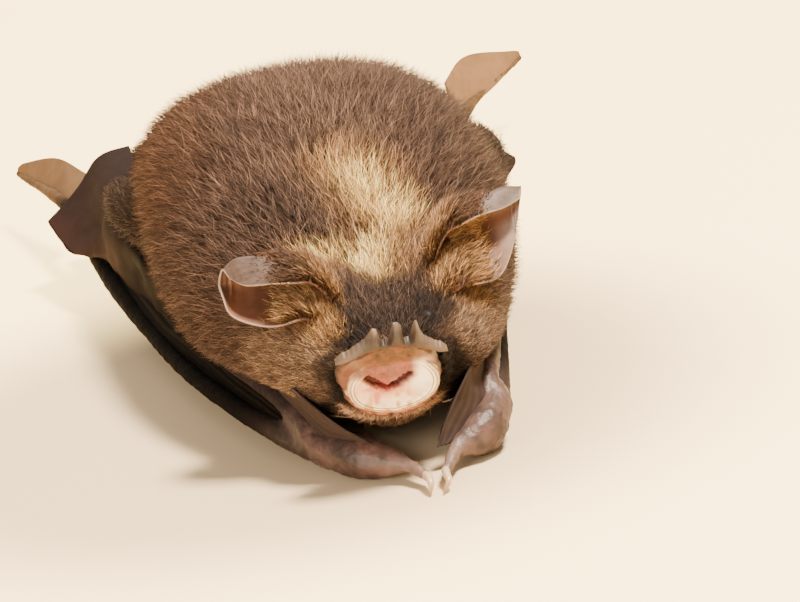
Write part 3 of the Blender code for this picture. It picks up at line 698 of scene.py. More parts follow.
def face_hairs(rng):
    """The fringe round the noseleaf, the chin's hanging hairs and the whiskers."""
    made = []
    angle = full_turn(180)[None] + np.zeros((6, 1))
    size = np.linspace(0.97, 1.12, 6)[:, None] * leaf_edge(angle)
    x, y = DISH[0] + size * np.cos(angle), DISH[1] + size * np.sin(angle)
    grid = on_face(x, y, 0.22 - 0.10 * np.arange(6)[:, None])
    out = np.broadcast_to(FACE_OUT, grid.shape)
    below = smooth_step(-0.45, -0.85, np.sin(angle))
    beside = smooth_step(0.55, 0.2, np.sin(angle))
    tone = mixed(DARK * 0.7, PALE_CHIN, 0.8 * below)
    tone = mixed(tone, CHEEK, 0.35 * smooth_step(0.1, 0.8, noise(grid, 0.5, 66)))
    length = 0.7 + 0.2 * below
    made.append(hairs_on(grid, out, beside, 2000, length, 0.3, tone, 4, rng, 0.016, 0.4))
    # Long pale hairs hang from the chin, and a few whiskers stand on both sides of it.
    pale = PALE_CHIN * 1.5
    made.append(hairs_on(grid, out, below + 1e-6, 900, 1.0, 0.5, pale, 4, rng, 0.014, 0.25))
    whisker = below * (np.abs(np.cos(angle)) > 0.35) + 1e-6
    made.append(hairs_on(grid, out, whisker, 26, 2.2, 0.3, pale, 4, rng, 0.009, 0.3))
    return made


def strand_faces(rings):
    """The corners of all of one hair's faces in a row, and each face's corner count."""
    faces = []
    for r in range(rings - 2):
        for i in range(RING):
            j = (i + 1) % RING
            faces.append((r * RING + i, r * RING + j, (r + 1) * RING + j, (r + 1) * RING + i))
    last = (rings - 2) * RING
    faces += [(last + i, last + (i + 1) % RING, last + RING) for i in range(RING)]
    faces.append((2, 1, 0))
    return np.concatenate(faces), [len(face) for face in faces]


def hair_piece(name, spots, path, radii, tones, finish):
    """One closed, three-sided hair for each path of three points, joined into one mesh."""
    count, rings = path.shape[:2]
    side, top = strand_frames(path)
    turn = full_turn(RING)
    ring = side[:, :, None] * np.cos(turn)[:, None] + top[:, :, None] * np.sin(turn)[:, None]
    points = path[:, :, None] + ring * radii[:, :, None, None]
    points = points[:, :-1].reshape(count, -1, 3)
    points = np.concatenate([points, path[:, -1:]], axis=1)
    each = points.shape[1]
    pattern, sizes = strand_faces(rings)
    corners = (pattern[None] + np.arange(count)[:, None] * each).ravel()
    obj = raw_mesh(name, points.reshape(-1, 3), corners, np.tile(sizes, count))
    colours = np.repeat(tones[:, :-1], RING, axis=1)
    colours = np.concatenate([colours, tones[:, -1:]], axis=1)
    paint(obj, colours)
    spread_uv(obj, spots, pattern, each, rings)
    finish_piece(obj, finish, "fur")


def strand_frames(path):
    forward = unit(np.gradient(path, axis=1))
    side = unit(np.cross(forward, (0.31, 0.23, 0.92)))
    top = np.cross(side, forward)
    return side, top


def spread_uv(obj, spots, pattern, each, rings):
    """Each hair is a small patch at its root's place on the unrolled skin."""
    patch_size = 0.003
    local = np.zeros((each, 2))
    for r in range(rings - 1):
        for i in range(RING):
            local[r * RING + i] = (i / (RING - 1), r / (rings - 1))
    local[each - 1] = (0.5, 1.0)
    uv = (spots * 0.985 + 0.005)[:, None] + local[pattern][None] * patch_size
    layer = obj.data.uv_layers.new(name="OFBake")
    layer.data.foreach_set("uv", uv.reshape(-1).astype(np.float32))


def make_coat():
    finish = toned_material("fur", Roughness=0.6, Specular_IOR_Level=0.15)
    rng = np.random.default_rng(17)
    made = [grow_coat(), *limb_hairs(rng), *ear_hairs(rng), *face_hairs(rng)]
    spots, path, radii, tones = (np.concatenate([m[i] for m in made]) for i in range(4))
    order = np.argsort(spots[:, 1], kind="stable")
    for number, some in enumerate(np.array_split(order, math.ceil(len(order) / PER_PIECE))):
        hair_piece("coat_%d" % (number + 1), spots[some], path[some], radii[some], tones[some], finish)


# ---------------------------------------------------------------- skin

VOXEL = 0.2  # size of the skin's faces


def tube_grid(points, radii, count, sides=24, flat=1.0, ridge=0.0):
    """Rings round a smooth path, rounded at both ends.

    flat is a ring's height over its width, and ridge how far three ridges stand out along the tube.
    """
    rows = smooth_path(np.column_stack([points, radii]), count)
    path, size = rows[:, :3], rows[:, 3]
    start = unit(path[0] - path[1])
    end = unit(path[-1] - path[-2])
    turn = np.radians([80.0, 55.0, 28.0])
    first = [path[0] + start * size[0] * math.sin(a) * 0.85 for a in turn]
    last = [path[-1] + end * size[-1] * math.sin(a) * 0.85 for a in turn[::-1]]
    path = np.vstack([first, path, last])
    size = np.concatenate([size[0] * np.cos(turn), size, size[-1] * np.cos(turn[::-1])])
    forward = unit(np.gradient(path, axis=0))
    side = unit(np.cross(forward, (0, 0, 1)))
    top = np.cross(side, forward)
    angle = full_turn(sides)
    swell = 1 + ridge * np.cos(3 * angle)
    ring = side[:, None] * (np.cos(angle) * swell)[:, None]
    ring = ring + top[:, None] * (np.sin(angle) * swell * flat)[:, None]
    grid = path[:, None] + ring * size[:, None, None]
    grid[..., 2] = np.maximum(grid[..., 2], 0.0)
    return grid


def arm_lines(wing):
    """The paths and radii of one wing's limbs, from the shoulder to the thumb and the fingers' tips."""
    upper = [wing.shoulder, shifted(wing.elbow, (-1.3, -9.5, 2.7)), shifted(wing.elbow, (-0.5, -2.0, 1.9))]
    third = [*wing.finger, wing.knuckle, wing.corner, wing.tip]
    end = np.array(wing.forearm[2])
    root = [part_way(end, wing.forearm[1], 0.3), end, wing.wrist[0], wing.wrist[1]]
    lines = {
        "upper_arm": (upper, (1.3, 1.1, 0.9)),
        "forearm": ([wing.elbow, *wing.forearm], (1.1, 0.85, 0.62, 0.72)),
        "wrist": (wing.wrist, (1.05, 1.3, 0.74)),
        "wrist_root": (root, (0.62, 0.82, 1.05, 1.0)),
        "thumb": ([wing.wrist[2], *wing.thumb], (0.68, 0.46, 0.38, 0.34)),
        "finger_3": (third, [BONE * r for r in (1.25, 1.1, 0.9, 0.9, 1.1, 0.8, 0.4)]),
    }
    for name, inwards in (("finger_4", -1.55), ("finger_5", -3.1)):
        shares = (0.25, 0.8, 1.0, 1.0, 1.0)  # they leave the wrist together
        low = [(p[0] + inwards * s, p[1] + 0.3, BONE) for p, s in zip((*wing.finger, wing.knuckle), shares)]
        low.append((wing.knuckle[0] + inwards - 0.2, 18.0, BONE))
        lines[name] = (low, [BONE * r for r in (0.9, 0.8, 0.8, 0.8, 0.9, 0.6)])
    return lines


TOES = 5


def toe_aside(toe):
    """How far a toe stands beside the foot's middle line."""
    return (toe - TOES // 2) * 0.55


def leg_lines():
    """The paths and radii of one hind leg: the thigh, the shank, the foot and its toes."""
    lines = {
        "thigh": ([(4.5, 16.0, 6.3), (7.5, 18.4, 6.8), (9.9, 20.6, 6.4)], (1.6, 1.3, 1.0)),
        "shank": ([(9.9, 20.9, 6.1), (9.1, 24.4, 3.4), (7.9, 27.0, 1.4)], (1.0, 0.75, 0.55)),
        "foot": ([(7.8, 27.3, 1.0), (8.0, 28.9, 0.75), (8.4, 30.2, 0.6)], (0.6, 0.9, 0.8)),
    }
    for toe in range(TOES):
        aside = toe_aside(toe)
        path = [(8.3 + aside * 0.7, 29.9, 0.5), (8.6 + aside * 1.15, 31.4, 0.62)]
        path.append((8.8 + aside * 1.4, 32.8, 0.42))
        lines["toe_%d" % toe] = (path, (0.34, 0.26, 0.24))
    return lines


def limb_lines(side):
    """The paths and radii of all the limbs of one side, in the bat's own frame."""
    lines = {**arm_lines(WINGS[side.name]), **leg_lines()}
    return {name: (at_side(side, points), radii) for name, (points, radii) in lines.items()}


def limb_grids():
    """The limbs' tubes, and the kind and middle line of each."""
    grids = []
    centres = []
    for side in SIDES:
        for name, (points, radii) in limb_lines(side).items():
            count = 60 if name.startswith("finger") or name == "forearm" else 24
            ridge = 0.05 if name == "forearm" else 0.0
            grids.append(tube_grid(points, radii, count, ridge=ridge))
            centres.append((name.split("_")[0], smooth_path(points, 40)))
    grids.append(tube_grid(TAIL, TAIL_RADII, 60))
    centres.append(("tail", smooth_path(TAIL, 40)))
    return grids, centres


def apply_modifiers(obj):
    """Gives the object the mesh that its modifiers make."""
    graph = bpy.context.evaluated_depsgraph_get()
    made = bpy.data.meshes.new_from_object(obj.evaluated_get(graph))
    obj.modifiers.clear()
    obj.data = made


def vertices_of(obj):
    """The vertices in design millimetres."""
    flat = np.empty(len(obj.data.vertices) * 3)
    obj.data.vertices.foreach_get("co", flat)
    return flat.reshape(-1, 3) / MM + (0, MIDDLE_Y, 0)


def move_vertices(obj, points):
    obj.data.vertices.foreach_set("co", placed(points).ravel())
    obj.data.update()


def eye_frame(side):
    return np.array(EYE) * (side.sign, 1, 1), unit(np.array(EYE_LOOK) * (side.sign, 1, 1))


def shape_lids(points):
    """Draws the skin in round each eye, with a lid standing up at the eyeball's edge."""
    for side in SIDES:
        eye, look = eye_frame(side)
        away = points - eye
        height = away @ look
        off = np.linalg.norm(away - height[:, None] * look, axis=1)
        near = (off < 1.6) & (height > -1.6)
        lid = np.interp(off, LID_REACH, LID_HEIGHT)
        share = 1 - smooth_step(0.7, 1.4, off)
        new_height = height * (1 - share) + lid * share
        points = points + np.where(near, new_height - height, 0)[:, None] * look
    return points


# A lid's height before the eye's middle at each distance from the line that the eye looks along.
LID_REACH = (0.0, 0.24, 0.38, 0.52, 0.8, 1.1)
LID_HEIGHT = (-0.9, -0.65, -0.08, -0.02, -0.12, -0.3)
SKIN_TONES = {
    "fur": srgb(36, 24, 19),
    "forearm": srgb(41, 32, 30),
    "wrist": srgb(84, 62, 56),
    "thumb": srgb(100, 80, 72),
    "finger": srgb(44, 32, 28),
    "shank": srgb(74, 53, 45),
    "foot": srgb(104, 76, 63),
    "toe": srgb(120, 88, 73),
    "tail": srgb(74, 53, 45),
    "upper": srgb(36, 24, 19),
    "thigh": srgb(36, 24, 19),
}
# The lids' dark skin, made near-black as painted shade of the eye's hollow.
EYELID_HOLLOW_SHADE = srgb(22, 14, 11)
# The wing's dark skin, made near-black as painted shade along the folded wing.
WING_BLACK_AND_SHADE = srgb(12, 9, 7)
# The wing tips' tan is painted light shining through the thin membrane.
TIP_BACKLIT_TAN = srgb(96, 73, 53)


def skin_tones(points, centres):
    """Each part of the skin has a tone, mixed where parts meet, with painted shade and light laid over."""
    total = np.zeros((len(points), 1))
    colour = np.zeros((len(points), 3))
    for kind, line in centres:
        nearest = np.full(len(points), 99.0)
        for where in line:
            nearest = np.minimum(nearest, np.linalg.norm(points - where, axis=1))
        weight = np.exp(-((nearest / 0.85) ** 4))[:, None] + 1e-9
        tone = SKIN_TONES[kind]
        # Painted shade: the finger goes near-black back from the wrist.
        if kind == "finger":
            tone = mixed(tone, WING_BLACK_AND_SHADE, smooth_step(-19.0, -13.0, points[:, 1]))
            # The finger's tip takes the same painted backlit tan.
            tone = mixed(tone, TIP_BACKLIT_TAN * 0.8, smooth_step(21.5, 25.0, points[:, 1]))
        # Painted shade: the forearm goes near-black towards the elbow.
        if kind == "forearm":
            tone = mixed(tone, WING_BLACK_AND_SHADE, 0.8 * smooth_step(-12.0, -4.0, points[:, 1]))
        colour += weight * tone
        total += weight
    weight = np.full((len(points), 1), 0.02)
    colour += weight * SKIN_TONES["fur"]
    colour /= total + weight
    # Painted shade: the skin round each eye goes near-black, as in the eye's hollow.
    for side in SIDES:
        near = np.linalg.norm(points - eye_frame(side)[0], axis=1)
        colour = mixed(colour, EYELID_HOLLOW_SHADE, smooth_step(1.6, 1.1, near))
    spots = 1 + 0.22 * noise(points, 0.5, 31) + 0.2 * noise(points, 0.2, 32)
    pink = smooth_step(0.2, 0.9, noise(points, 0.8, 33)) * smooth_step(-17.0, -20.0, points[:, 1])
    colour = mixed(colour, colour * (1.2, 0.9, 0.9), 0.5 * pink)
    dusk = smooth_step(0.1, 0.8, noise(points * (1.3, 0.6, 1.3), 0.7, 34))
    dusk = dusk * smooth_step(-17.0, -20.0, points[:, 1])
    colour = mixed(colour, SKIN_TONES["forearm"], 0.65 * dusk)
    return colour * spots[:, None]


def skin_gloss(points):
    """How shiny the skin is: fully on the wrists and thumbs, half on the feet and nowhere else."""
    hands = smooth_step(-15.0, -20.0, points[:, 1]) * smooth_step(5.5, 4.0, points[:, 2])
    feet = 0.5 * smooth_step(26.0, 29.0, points[:, 1]) * smooth_step(2.5, 1.5, points[:, 2])
    return np.maximum(hands, feet)


def joined_skin(grids):
    """One closed skin round all the grids, drawn together from their separate shapes."""
    parts = [closed_grid("part", grid) for grid in grids]
    skin = parts[0]
    skin.name = "skin"
    scratch = bmesh.new()
    for part in parts:
        scratch.from_mesh(part.data)
    joined = bpy.data.meshes.new("skin")
    scratch.to_mesh(joined)
    scratch.free()
    skin.data = joined
    for part in parts[1:]:
        bpy.data.objects.remove(part, do_unlink=True)
    remesh = skin.modifiers.new("one_skin", "REMESH")
    remesh.mode = "VOXEL"
    remesh.voxel_size = VOXEL * MM
    remesh.use_smooth_shade = True
    smooth = skin.modifiers.new("soften", "SMOOTH")
    smooth.factor = 0.5
    smooth.iterations = 4
    apply_modifiers(skin)
    return skin


def make_skin():
    """The skin of the body and all limbs, with its lids, creases, tones and gloss."""
    grids, centres = limb_grids()
    skin = joined_skin([INNER, *grids])
    points = shape_lids(vertices_of(skin))
    hands = smooth_step(-16.0, -19.0, points[:, 1]) * smooth_step(5.5, 4.0, points[:, 2])
    crease = noise(points, 0.35, 41) * 0.02 + noise(points, 0.9, 42) * 0.03
    crease = crease - hands * 0.07 * np.abs(noise(points * (1.5, 0.7, 1.5), 0.6, 43))
    crease = crease + hands * 0.05 * noise(points, 0.25, 44)
    normals = np.empty(len(points) * 3)
    skin.data.vertices.foreach_get("normal", normals)
    points = points + normals.reshape(-1, 3) * crease[:, None]
    points[:, 2] = np.maximum(points[:, 2], 0.0)
    move_vertices(skin, points)
    paint(skin, skin_tones(points, centres))
    paint(skin, skin_gloss(points)[:, None] + np.zeros(3), "gloss")
    grain = (3600, 0.6, 0.0001)
    finish = toned_material("bare_skin", grain, Subsurface_Weight=0.03, Subsurface_Radius=SKIN_GLOW)
    link_gloss(finish)
    skin.data.materials.clear()
    flesh = ["head", "jaw", "neck", "trunk", "rump", "tail"]
    arm = ("upper_arm", "forearm", "wrist", "thumb", "finger_3", "finger_4", "finger_5")
    for name in (*arm, "thigh", "shank", "foot"):
        flesh += [name + "_" + side.name for side in SIDES]
    finish_piece(skin, finish, "bare_skin", *flesh)


def closed_grid(name, grid):
    """A closed tube from a (rows, columns, 3) grid of rings."""
    rows, columns = grid.shape[:2]
    r, c = np.meshgrid(np.arange(rows - 1), np.arange(columns), indexing="ij")
    a = r * columns + c
    b = r * columns + (c + 1) % columns
    quads = np.stack([a, b, b + columns, a + columns], axis=-1).reshape(-1, 4)
    start = list(range(columns - 1, -1, -1))
    end = list(range((rows - 1) * columns, rows * columns))
    corners = np.concatenate([quads.ravel(), start, end])
    sizes = [4] * len(quads) + [columns, columns]
    return raw_mesh(name, grid.reshape(-1, 3), corners, sizes)


def closed_sheet(name, first, second, first_tones, second_tones):
    """A thin closed sheet between two grids of points, each with its tones."""
    ring = np.concatenate([first, second[:, ::-1]], axis=1)
    ring[..., 2] = np.maximum(ring[..., 2], 0.0)
    obj = closed_grid(name, ring)
    paint(obj, np.concatenate([first_tones, second_tones[:, ::-1]], axis=1))
    scratch = bmesh.new()
    scratch.from_mesh(obj.data)
    bmesh.ops.recalc_face_normals(scratch, faces=scratch.faces)
    scratch.to_mesh(obj.data)
    scratch.free()
    return obj


# ---------------------------------------------------------------- noseleaf


def face_axes():
    """The noseleaf's directions across, up and out."""
    tilt, roll = math.radians(FACE_TILT), math.radians(FACE_ROLL)
    level = np.array([1, 0, 0])
    upright = np.array([0, -math.sin(tilt), math.cos(tilt)])
    across = level * math.cos(roll) - upright * math.sin(roll)
    up = upright * math.cos(roll) + level * math.sin(roll)
    return across, up, np.array([0, -math.cos(tilt), -math.sin(tilt)])


FACE_ACROSS, FACE_UP, FACE_OUT = face_axes()


def on_face(across, up, out):
    """Points from arrays of places across, up and out from the noseleaf's middle."""
    across, up, out = np.broadcast_arrays(across, up, out)
    offset = across[..., None] * FACE_ACROSS + up[..., None] * FACE_UP
    return np.array(FACE) + offset + out[..., None] * FACE_OUT


# The front leaf is a squared ellipse round the dish's middle, with a lobe on the bat's right.
LEAF_WIDE = 2.75
LEAF_ABOVE = 2.65
LEAF_UNDER = 2.3
LEAF_SQUARE = 2.3
LOBE = (2.75, 0.35, 0.55)  # direction and half width as angles, and how far it stands out
# The nostrils are slits from an outer to an inner end, bowed downwards.
NOSTRILS = (((-1.4, 0.8), (-0.35, 0.1)), ((0.95, 0.7), (-0.15, 0.1)))
NOSTRIL_BOW = 0.12
DOTS = ((-0.8, 2.3), (0.9, 2.1))
DISH = (0.05, 0.25, 2.52, 1.85)  # middle across and up, half width and half height
LEAF_CREAM = srgb(254, 234, 196)
LEAF_PINK = srgb(196, 106, 92)
LEAF_DUSK = srgb(116, 58, 48)
LEAF_SLIT = srgb(62, 10, 9)
LEAF_ORANGE = srgb(86, 52, 24)
LEAF_WARM = srgb(190, 142, 84)
LEAF_BRIGHT = srgb(254, 246, 226)
LEAF_TAN = srgb(104, 64, 38)
LEAF_FRECKLE = srgb(120, 66, 38)
# Painted shade in the troughs between the rim's rings.
LEAF_GROOVE_SHADE = srgb(112, 72, 50)
LEAF_RIM = srgb(150, 108, 80)
LEAF_NOTCH = srgb(196, 156, 116)
LEAF_DOT = srgb(52, 22, 14)
NOSTRIL_RED = srgb(128, 50, 44)
LIP_RED = srgb(98, 58, 42)
LIP_PALE = srgb(160, 92, 62)
LIP_DARK = srgb(84, 42, 26)
REAR_GREY = srgb(56, 44, 37)
REAR_PALE = srgb(94, 74, 59)
REAR_BASE = srgb(96, 56, 34)
# The rear leaf is an arch over the front leaf, swollen at both shoulders under its outer points.
REAR_WIDE = 3.1
REAR_FOOT = (1.85, 0.85)  # height of its lower line's ends, and how far that line rises between them
REAR_BACK = (2.1, 0.85)  # the same of its upper line
SHOULDERS = (-1.5, 1.6)


def from_line(x, y, places):
    """How far points are from a line through places, and how far along it they stand from 0 to 1."""
    line = smooth_path(places, 24)
    away = np.hypot(x[..., None] - line[:, 0], y[..., None] - line[:, 1])
    return away.min(axis=-1), away.argmin(axis=-1) / 23


def flat_noise(x, y, size, seed):
    return noise(np.stack([x, y, x * 0], axis=-1), size, seed)


def leaf_edge(angle):
    """How far the front leaf's edge is from the dish's middle in each direction."""
    tall = np.where(np.sin(angle) > 0, LEAF_ABOVE, LEAF_UNDER)
    across, up = np.abs(np.cos(angle)) / LEAF_WIDE, np.abs(np.sin(angle)) / tall
    direction, half, out = LOBE
    return (across**LEAF_SQUARE + up**LEAF_SQUARE) ** (-1 / LEAF_SQUARE) + out * np.exp(
        -(((angle - direction) / half) ** 2)
    )


def hump(x, y, place, size):
    return np.exp(-(((x - place[0]) / size[0]) ** 2) - ((y - place[1]) / size[1]) ** 2)


def lip_tones(x, y, turn, share):
    """The colours of the bare skin round the sides and under the front leaf's rim."""
    return layered(
        LIP_RED,
        (LIP_PALE, smooth_step(-0.7, -1.0, np.sin(turn))),
        (LIP_DARK, 0.7 * smooth_step(-0.1, 0.6, flat_noise(x, y, 0.22, 60))),
        (DARK * 0.7, smooth_step(0.93, 1.0, share)),
    )


def leaf_relief(x, y, share):
    """How far the front leaf stands out at a place across and up, and its colour there.

    share is how far the place is from the middle, 1 at the edge.
    """
    u, v = (x - DISH[0]) / DISH[2], (y - DISH[1]) / DISH[3]
    rho = np.hypot(u, v)
    turn = np.arctan2(v, u)
    low = smooth_step(0.9, 0.5, np.sin(turn))  # the rim runs round the sides and under the leaf
    fine = flat_noise(x, y, 0.12, 55)
    patchy = flat_noise(x, y, 0.3, 51)
    out = 0.72 + 0.24 * low * smooth_step(0.62, 0.90, rho) - 0.16 * low * smooth_step(0.97, 1.03, rho)
    out = out - 0.45 * smooth_step(0.92, 1.0, share)
    out = out + 0.10 * (hump(x, y, (-1.3, -0.55), (0.8, 0.5)) + hump(x, y, (1.3, -0.45), (0.9, 0.5)))
    wander = 0.012 * flat_noise(x, y, 0.7, 50)
    rings = np.cos((rho + wander - 0.985) / 0.075 * 2 * math.pi)
    rings = rings * smooth_step(0.80, 0.88, rho) * smooth_step(1.08, 1.0, rho)
    out = out + 0.03 * rings * low
    notch = np.exp(-((np.abs(x + 0.12) / 0.14) ** 2)) * smooth_step(-0.75, -0.95, v)
    out = out - 0.06 * notch
    middle = np.abs(x + 0.22)
    pad = smooth_step(-0.3, 0.3, y - 1.7 + 0.2 * flat_noise(x, y, 0.4, 54)) * smooth_step(2.1, 1.3, middle)
    out = out + 0.10 * pad - 0.22 * smooth_step(2.2, 2.9, y)
    crease = np.exp(-(((y - 1.5) / 0.15) ** 2)) * (1 - pad)
    out = out + 0.10 * hump(x, y, (-0.28, 0.45), (0.14, 0.4)) - 0.05 * crease
    out = out + 0.025 * patchy + 0.018 * fine

    spots = smooth_step(0.0, 0.7, flat_noise(x, y, 0.45, 52))
    warm = smooth_step(-0.1, 0.6, flat_noise(x, y, 0.3, 56)) * smooth_step(0.1, -0.35, v)
    dusk = smooth_step(0.0, 0.7, y - 0.2 * np.abs(x + 0.25)) * smooth_step(1.9, 1.2, middle)
    tan = smooth_step(0.7, 1.3, y) * smooth_step(-1.2, -1.9, x)
    tan = tan + smooth_step(1.4, 2.0, y) * smooth_step(0.9, 1.5, x)
    freckle = smooth_step(0.35, 0.8, flat_noise(x, y, 0.25, 57))
    # Painted shade: darker in the troughs between the rim's rings.
    groove_shade = smooth_step(0.2, -0.8, rings) * smooth_step(0.82, 0.88, rho) * low
    colour = layered(
        LEAF_CREAM,
        (LEAF_PINK, 0.95 * hump(x, y, (-0.2, 0.0), (1.8, 0.85))),
        (LEAF_PINK, 0.9 * spots * smooth_step(0.95, 0.7, rho)),
        (LEAF_WARM, 0.85 * warm),
        (LEAF_BRIGHT, 0.7 * hump(x, y, (1.6, 0.2), (0.7, 0.8))),
        (LEAF_DUSK * (1 + 0.25 * fine + 0.2 * patchy)[..., None], 0.96 * dusk),
        (LEAF_TAN, 0.95 * np.clip(tan, 0, 1)),
        (LEAF_ORANGE * (1 + 0.2 * patchy + 0.15 * fine)[..., None], pad),
        (LEAF_FRECKLE, 0.5 * freckle * pad),
        (LEAF_GROOVE_SHADE, 0.85 * groove_shade),
        (LEAF_RIM, 0.55 * smooth_step(0.90, 1.0, rho) * low),
        (LEAF_NOTCH, 0.6 * notch),
    )
    ragged = 0.02 * np.sin(11 * turn) + 0.03 * flat_noise(x, y, 0.3, 58)
    beyond = smooth_step(1.01, 1.06, rho + ragged) * low
    colour = mixed(colour, lip_tones(x, y, turn, share), beyond)
    return with_holes(x, y, out, colour, fine)


def with_holes(x, y, out, colour, fine):
    """The front leaf's height and colour once the nostrils and the dots over them are sunk in."""
    for outer_end, inner_end in NOSTRILS:
        bowed = (0.5 * (outer_end[0] + inner_end[0]), 0.5 * (outer_end[1] + inner_end[1]) - NOSTRIL_BOW)
        off, along = from_line(x, y, (outer_end, bowed, inner_end))
        thick = 1 - along
        wide = (0.15 + 0.10 * np.sin(thick * math.pi * 0.8)) * (1 + 0.3 * fine)
        pit = np.exp(-((off / wide) ** 4))
        out = out - 0.36 * pit + 0.05 * np.exp(-(((off - 0.30) / 0.1) ** 2))
        colour = mixed(colour, NOSTRIL_RED, 0.9 * np.exp(-((off / 0.34) ** 2)))
        colour = mixed(colour, LEAF_SLIT, np.clip(1.3 * pit, 0, 1))
    for place in DOTS:
        dot = hump(x, y, place, (0.12, 0.14))
        out = out - 0.08 * dot
        colour = mixed(colour, LEAF_DOT, 0.95 * dot)
    return out, colour


def make_noseleaf():
    finish = toned_material(
        "noseleaf",
        (7000, 0.6, 0.00005),
        Roughness=0.5,
        Specular_IOR_Level=0.3,
        Subsurface_Weight=0.04,
        Subsurface_Radius=SKIN_GLOW,
    )
    make_front_leaf(finish)
    make_rear_leaf(finish)


def make_front_leaf(finish):
    """The front leaf's rings run from its middle to its edge, over it, and back into the muzzle."""
    turns = 250
    angle = full_turn(turns)
    edge = leaf_edge(angle) + 0.03 * np.sin(13 * angle) + 0.02 * np.sin(29 * angle + 1.0)
    rings = []
    tones = []

    def places(share):
        return DISH[0] + edge * share * np.cos(angle), DISH[1] + edge * share * np.sin(angle)

    for share in np.concatenate([np.linspace(0.01, 0.66, 46), np.linspace(0.675, 1.0, 40)]):
        out, colour = leaf_relief(*places(share), share)
        rings.append(on_face(*places(share), out))
        tones.append(colour)
    for share, out in ((0.99, 0.05), (0.9, -0.2), (0.6, -0.4)):
        rings.append(on_face(*places(share), out))
        tones.append(np.tile(DARK, (turns, 1)))
    leaf = closed_grid("noseleaf_front_skin", np.array(rings)[::-1])
    paint(leaf, np.array(tones)[::-1])
    finish_piece(leaf, finish, "noseleaf", "noseleaf_front")


# Each point's place, half widths to the right and left of the bat, bluntness and height.
REAR_POINTS = (
    (-0.9, 0.36, 0.26, 2.6, 0.85),
    (0.3, 0.33, 0.33, 5.0, 1.1),
    (1.35, 0.22, 0.26, 2.2, 0.9),
)


def rear_lines():
    """Places across the rear leaf, and its lower line, upper line, points and thickness there."""
    x = np.linspace(-REAR_WIDE, REAR_WIDE, 280)
    arch = np.cos(x / REAR_WIDE * math.pi / 2)
    foot = REAR_FOOT[0] + REAR_FOOT[1] * arch**1.3
    top = REAR_BACK[0] + REAR_BACK[1] * arch**0.7
    for shoulder in SHOULDERS:
        top = top + 0.35 * np.exp(-(((x - shoulder) / 0.5) ** 2))
    peak = np.zeros(len(x))
    point = np.zeros(len(x))
    for place, before, after, blunt, tall in REAR_POINTS:
        wide = np.where(x < place, before, after)
        peak = np.maximum(peak, tall * np.exp(-np.abs((x - place) / wide) ** blunt))
        point = np.maximum(point, np.exp(-np.abs((x - place) / 0.25) ** 2))
    nub = 0.16 * np.exp(-(((x + 0.30) / 0.08) ** 2))
    top = top + peak + nub + 0.025 * np.sin(x * 9.0 + 1.0) + 0.02 * np.sin(x * 23.0)
    ends = smooth_step(3.08, 2.7, np.abs(x))
    thick = (0.09 + 0.22 * point + 0.05 * smooth_step(1.0, 2.0, np.abs(x))) * (0.4 + 0.6 * ends)
    middle = 0.5 * (foot + top)
    foot = middle + (foot - middle) * (0.5 + 0.5 * ends)
    top = middle + (top - middle) * (0.5 + 0.5 * ends)
    return x, foot, top, point, thick


def make_rear_leaf(finish):
    """The rear leaf is an arch with three blunt points, its ends drooping over the cheeks."""
    x, foot, top, point, thick = rear_lines()
    faces = []
    colours = []
    for turn in full_turn(48):
        share = 0.5 - 0.5 * math.cos(turn)  # 0 at the foot, 1 at the top
        up = foot + (top - foot) * share
        lean = 0.62 - 0.42 * share + 0.10 * math.sin(share * math.pi)
        round_ = math.sin(turn) * (1 - 0.25 * share)
        crinkle = 0.02 * noise(np.stack([x, up, x * 0], axis=1), 0.2, 53)
        faces.append(on_face(x, up, lean + thick * round_ * 1.2 + crinkle))
        outer = smooth_step(1.2, 2.4, np.abs(x))
        colour = mixed(REAR_GREY, REAR_PALE * 0.86, 0.85 * outer)
        tip = smooth_step(0.7, 1.0, share) * point * np.where(x < -0.3, 1.0, 0.5)
        colour = mixed(colour, REAR_PALE * 1.5, tip)
        base = smooth_step(0.35, 0.0, share) * smooth_step(2.0, 1.0, np.abs(x))
        colour = mixed(colour, REAR_BASE, 0.7 * base)
        gap = (1 - point) * smooth_step(1.6, 0.9, np.abs(x - 0.2)) * smooth_step(0.1, 0.5, share)
        colour = mixed(colour, DARK, 0.45 * gap)
        fleck = 1 + 0.16 * noise(faces[-1], 0.3, 53) + 0.12 * noise(faces[-1], 0.12, 64)
        colours.append(colour * fleck[:, None])
    rear = closed_grid("noseleaf_rear_skin", np.array(faces).transpose(1, 0, 2))
    paint(rear, np.array(colours).transpose(1, 0, 2))
    finish_piece(rear, finish, "noseleaf", "noseleaf_rear")


# ---------------------------------------------------------------- ears

EAR_BACK = srgb(76, 60, 54)
EAR_INSIDE = srgb(112, 74, 56)
EAR_DEEP = srgb(58, 32, 20)
# The rim's paler skin, brightened as painted rim light along the thin edge.
EAR_RIM = srgb(142, 120, 110)
EAR_WARM = srgb(112, 74, 50)


def ear_surface(ear, rows, columns):
    """The ear's sheet from inside the head to its tip, and how far each row is along it."""
    guides = [smooth_path(guide, rows) for guide in ear]
    grid = np.array([smooth_path([guide[row] for guide in guides], columns) for row in range(rows)])
    sunk = np.linspace(-1, 0, 14, endpoint=False)
    run = (grid[0] - grid[1]).mean(axis=0)
    run = run / np.linalg.norm(run)
    centre = grid[0].mean(axis=0)
    under = [grid[0] + run * 1.5 * -s + ((centre - grid[0]) * 0.35 - (0, 0, 1.5)) * s * s for s in sunk]
    along = np.concatenate([sunk * 0.25, np.linspace(0, 1, rows)])
    return np.concatenate([under, grid]), along


def ear_sheet(side, rows):
    """An ear's sheet, the way out of its hollow, and how far along and across it each point is."""
    grid, along = ear_surface(EARS[side.name], rows, 110)
    normal = sheet_normal(grid)
    hollow = grid.mean(axis=1, keepdims=True)
    up = normal * np.sign(((grid - hollow) * normal).sum(axis=2).mean())
    _, across = sheet_shares(*grid.shape[:2])
    return grid, up, along[:, None] + 0 * across, across


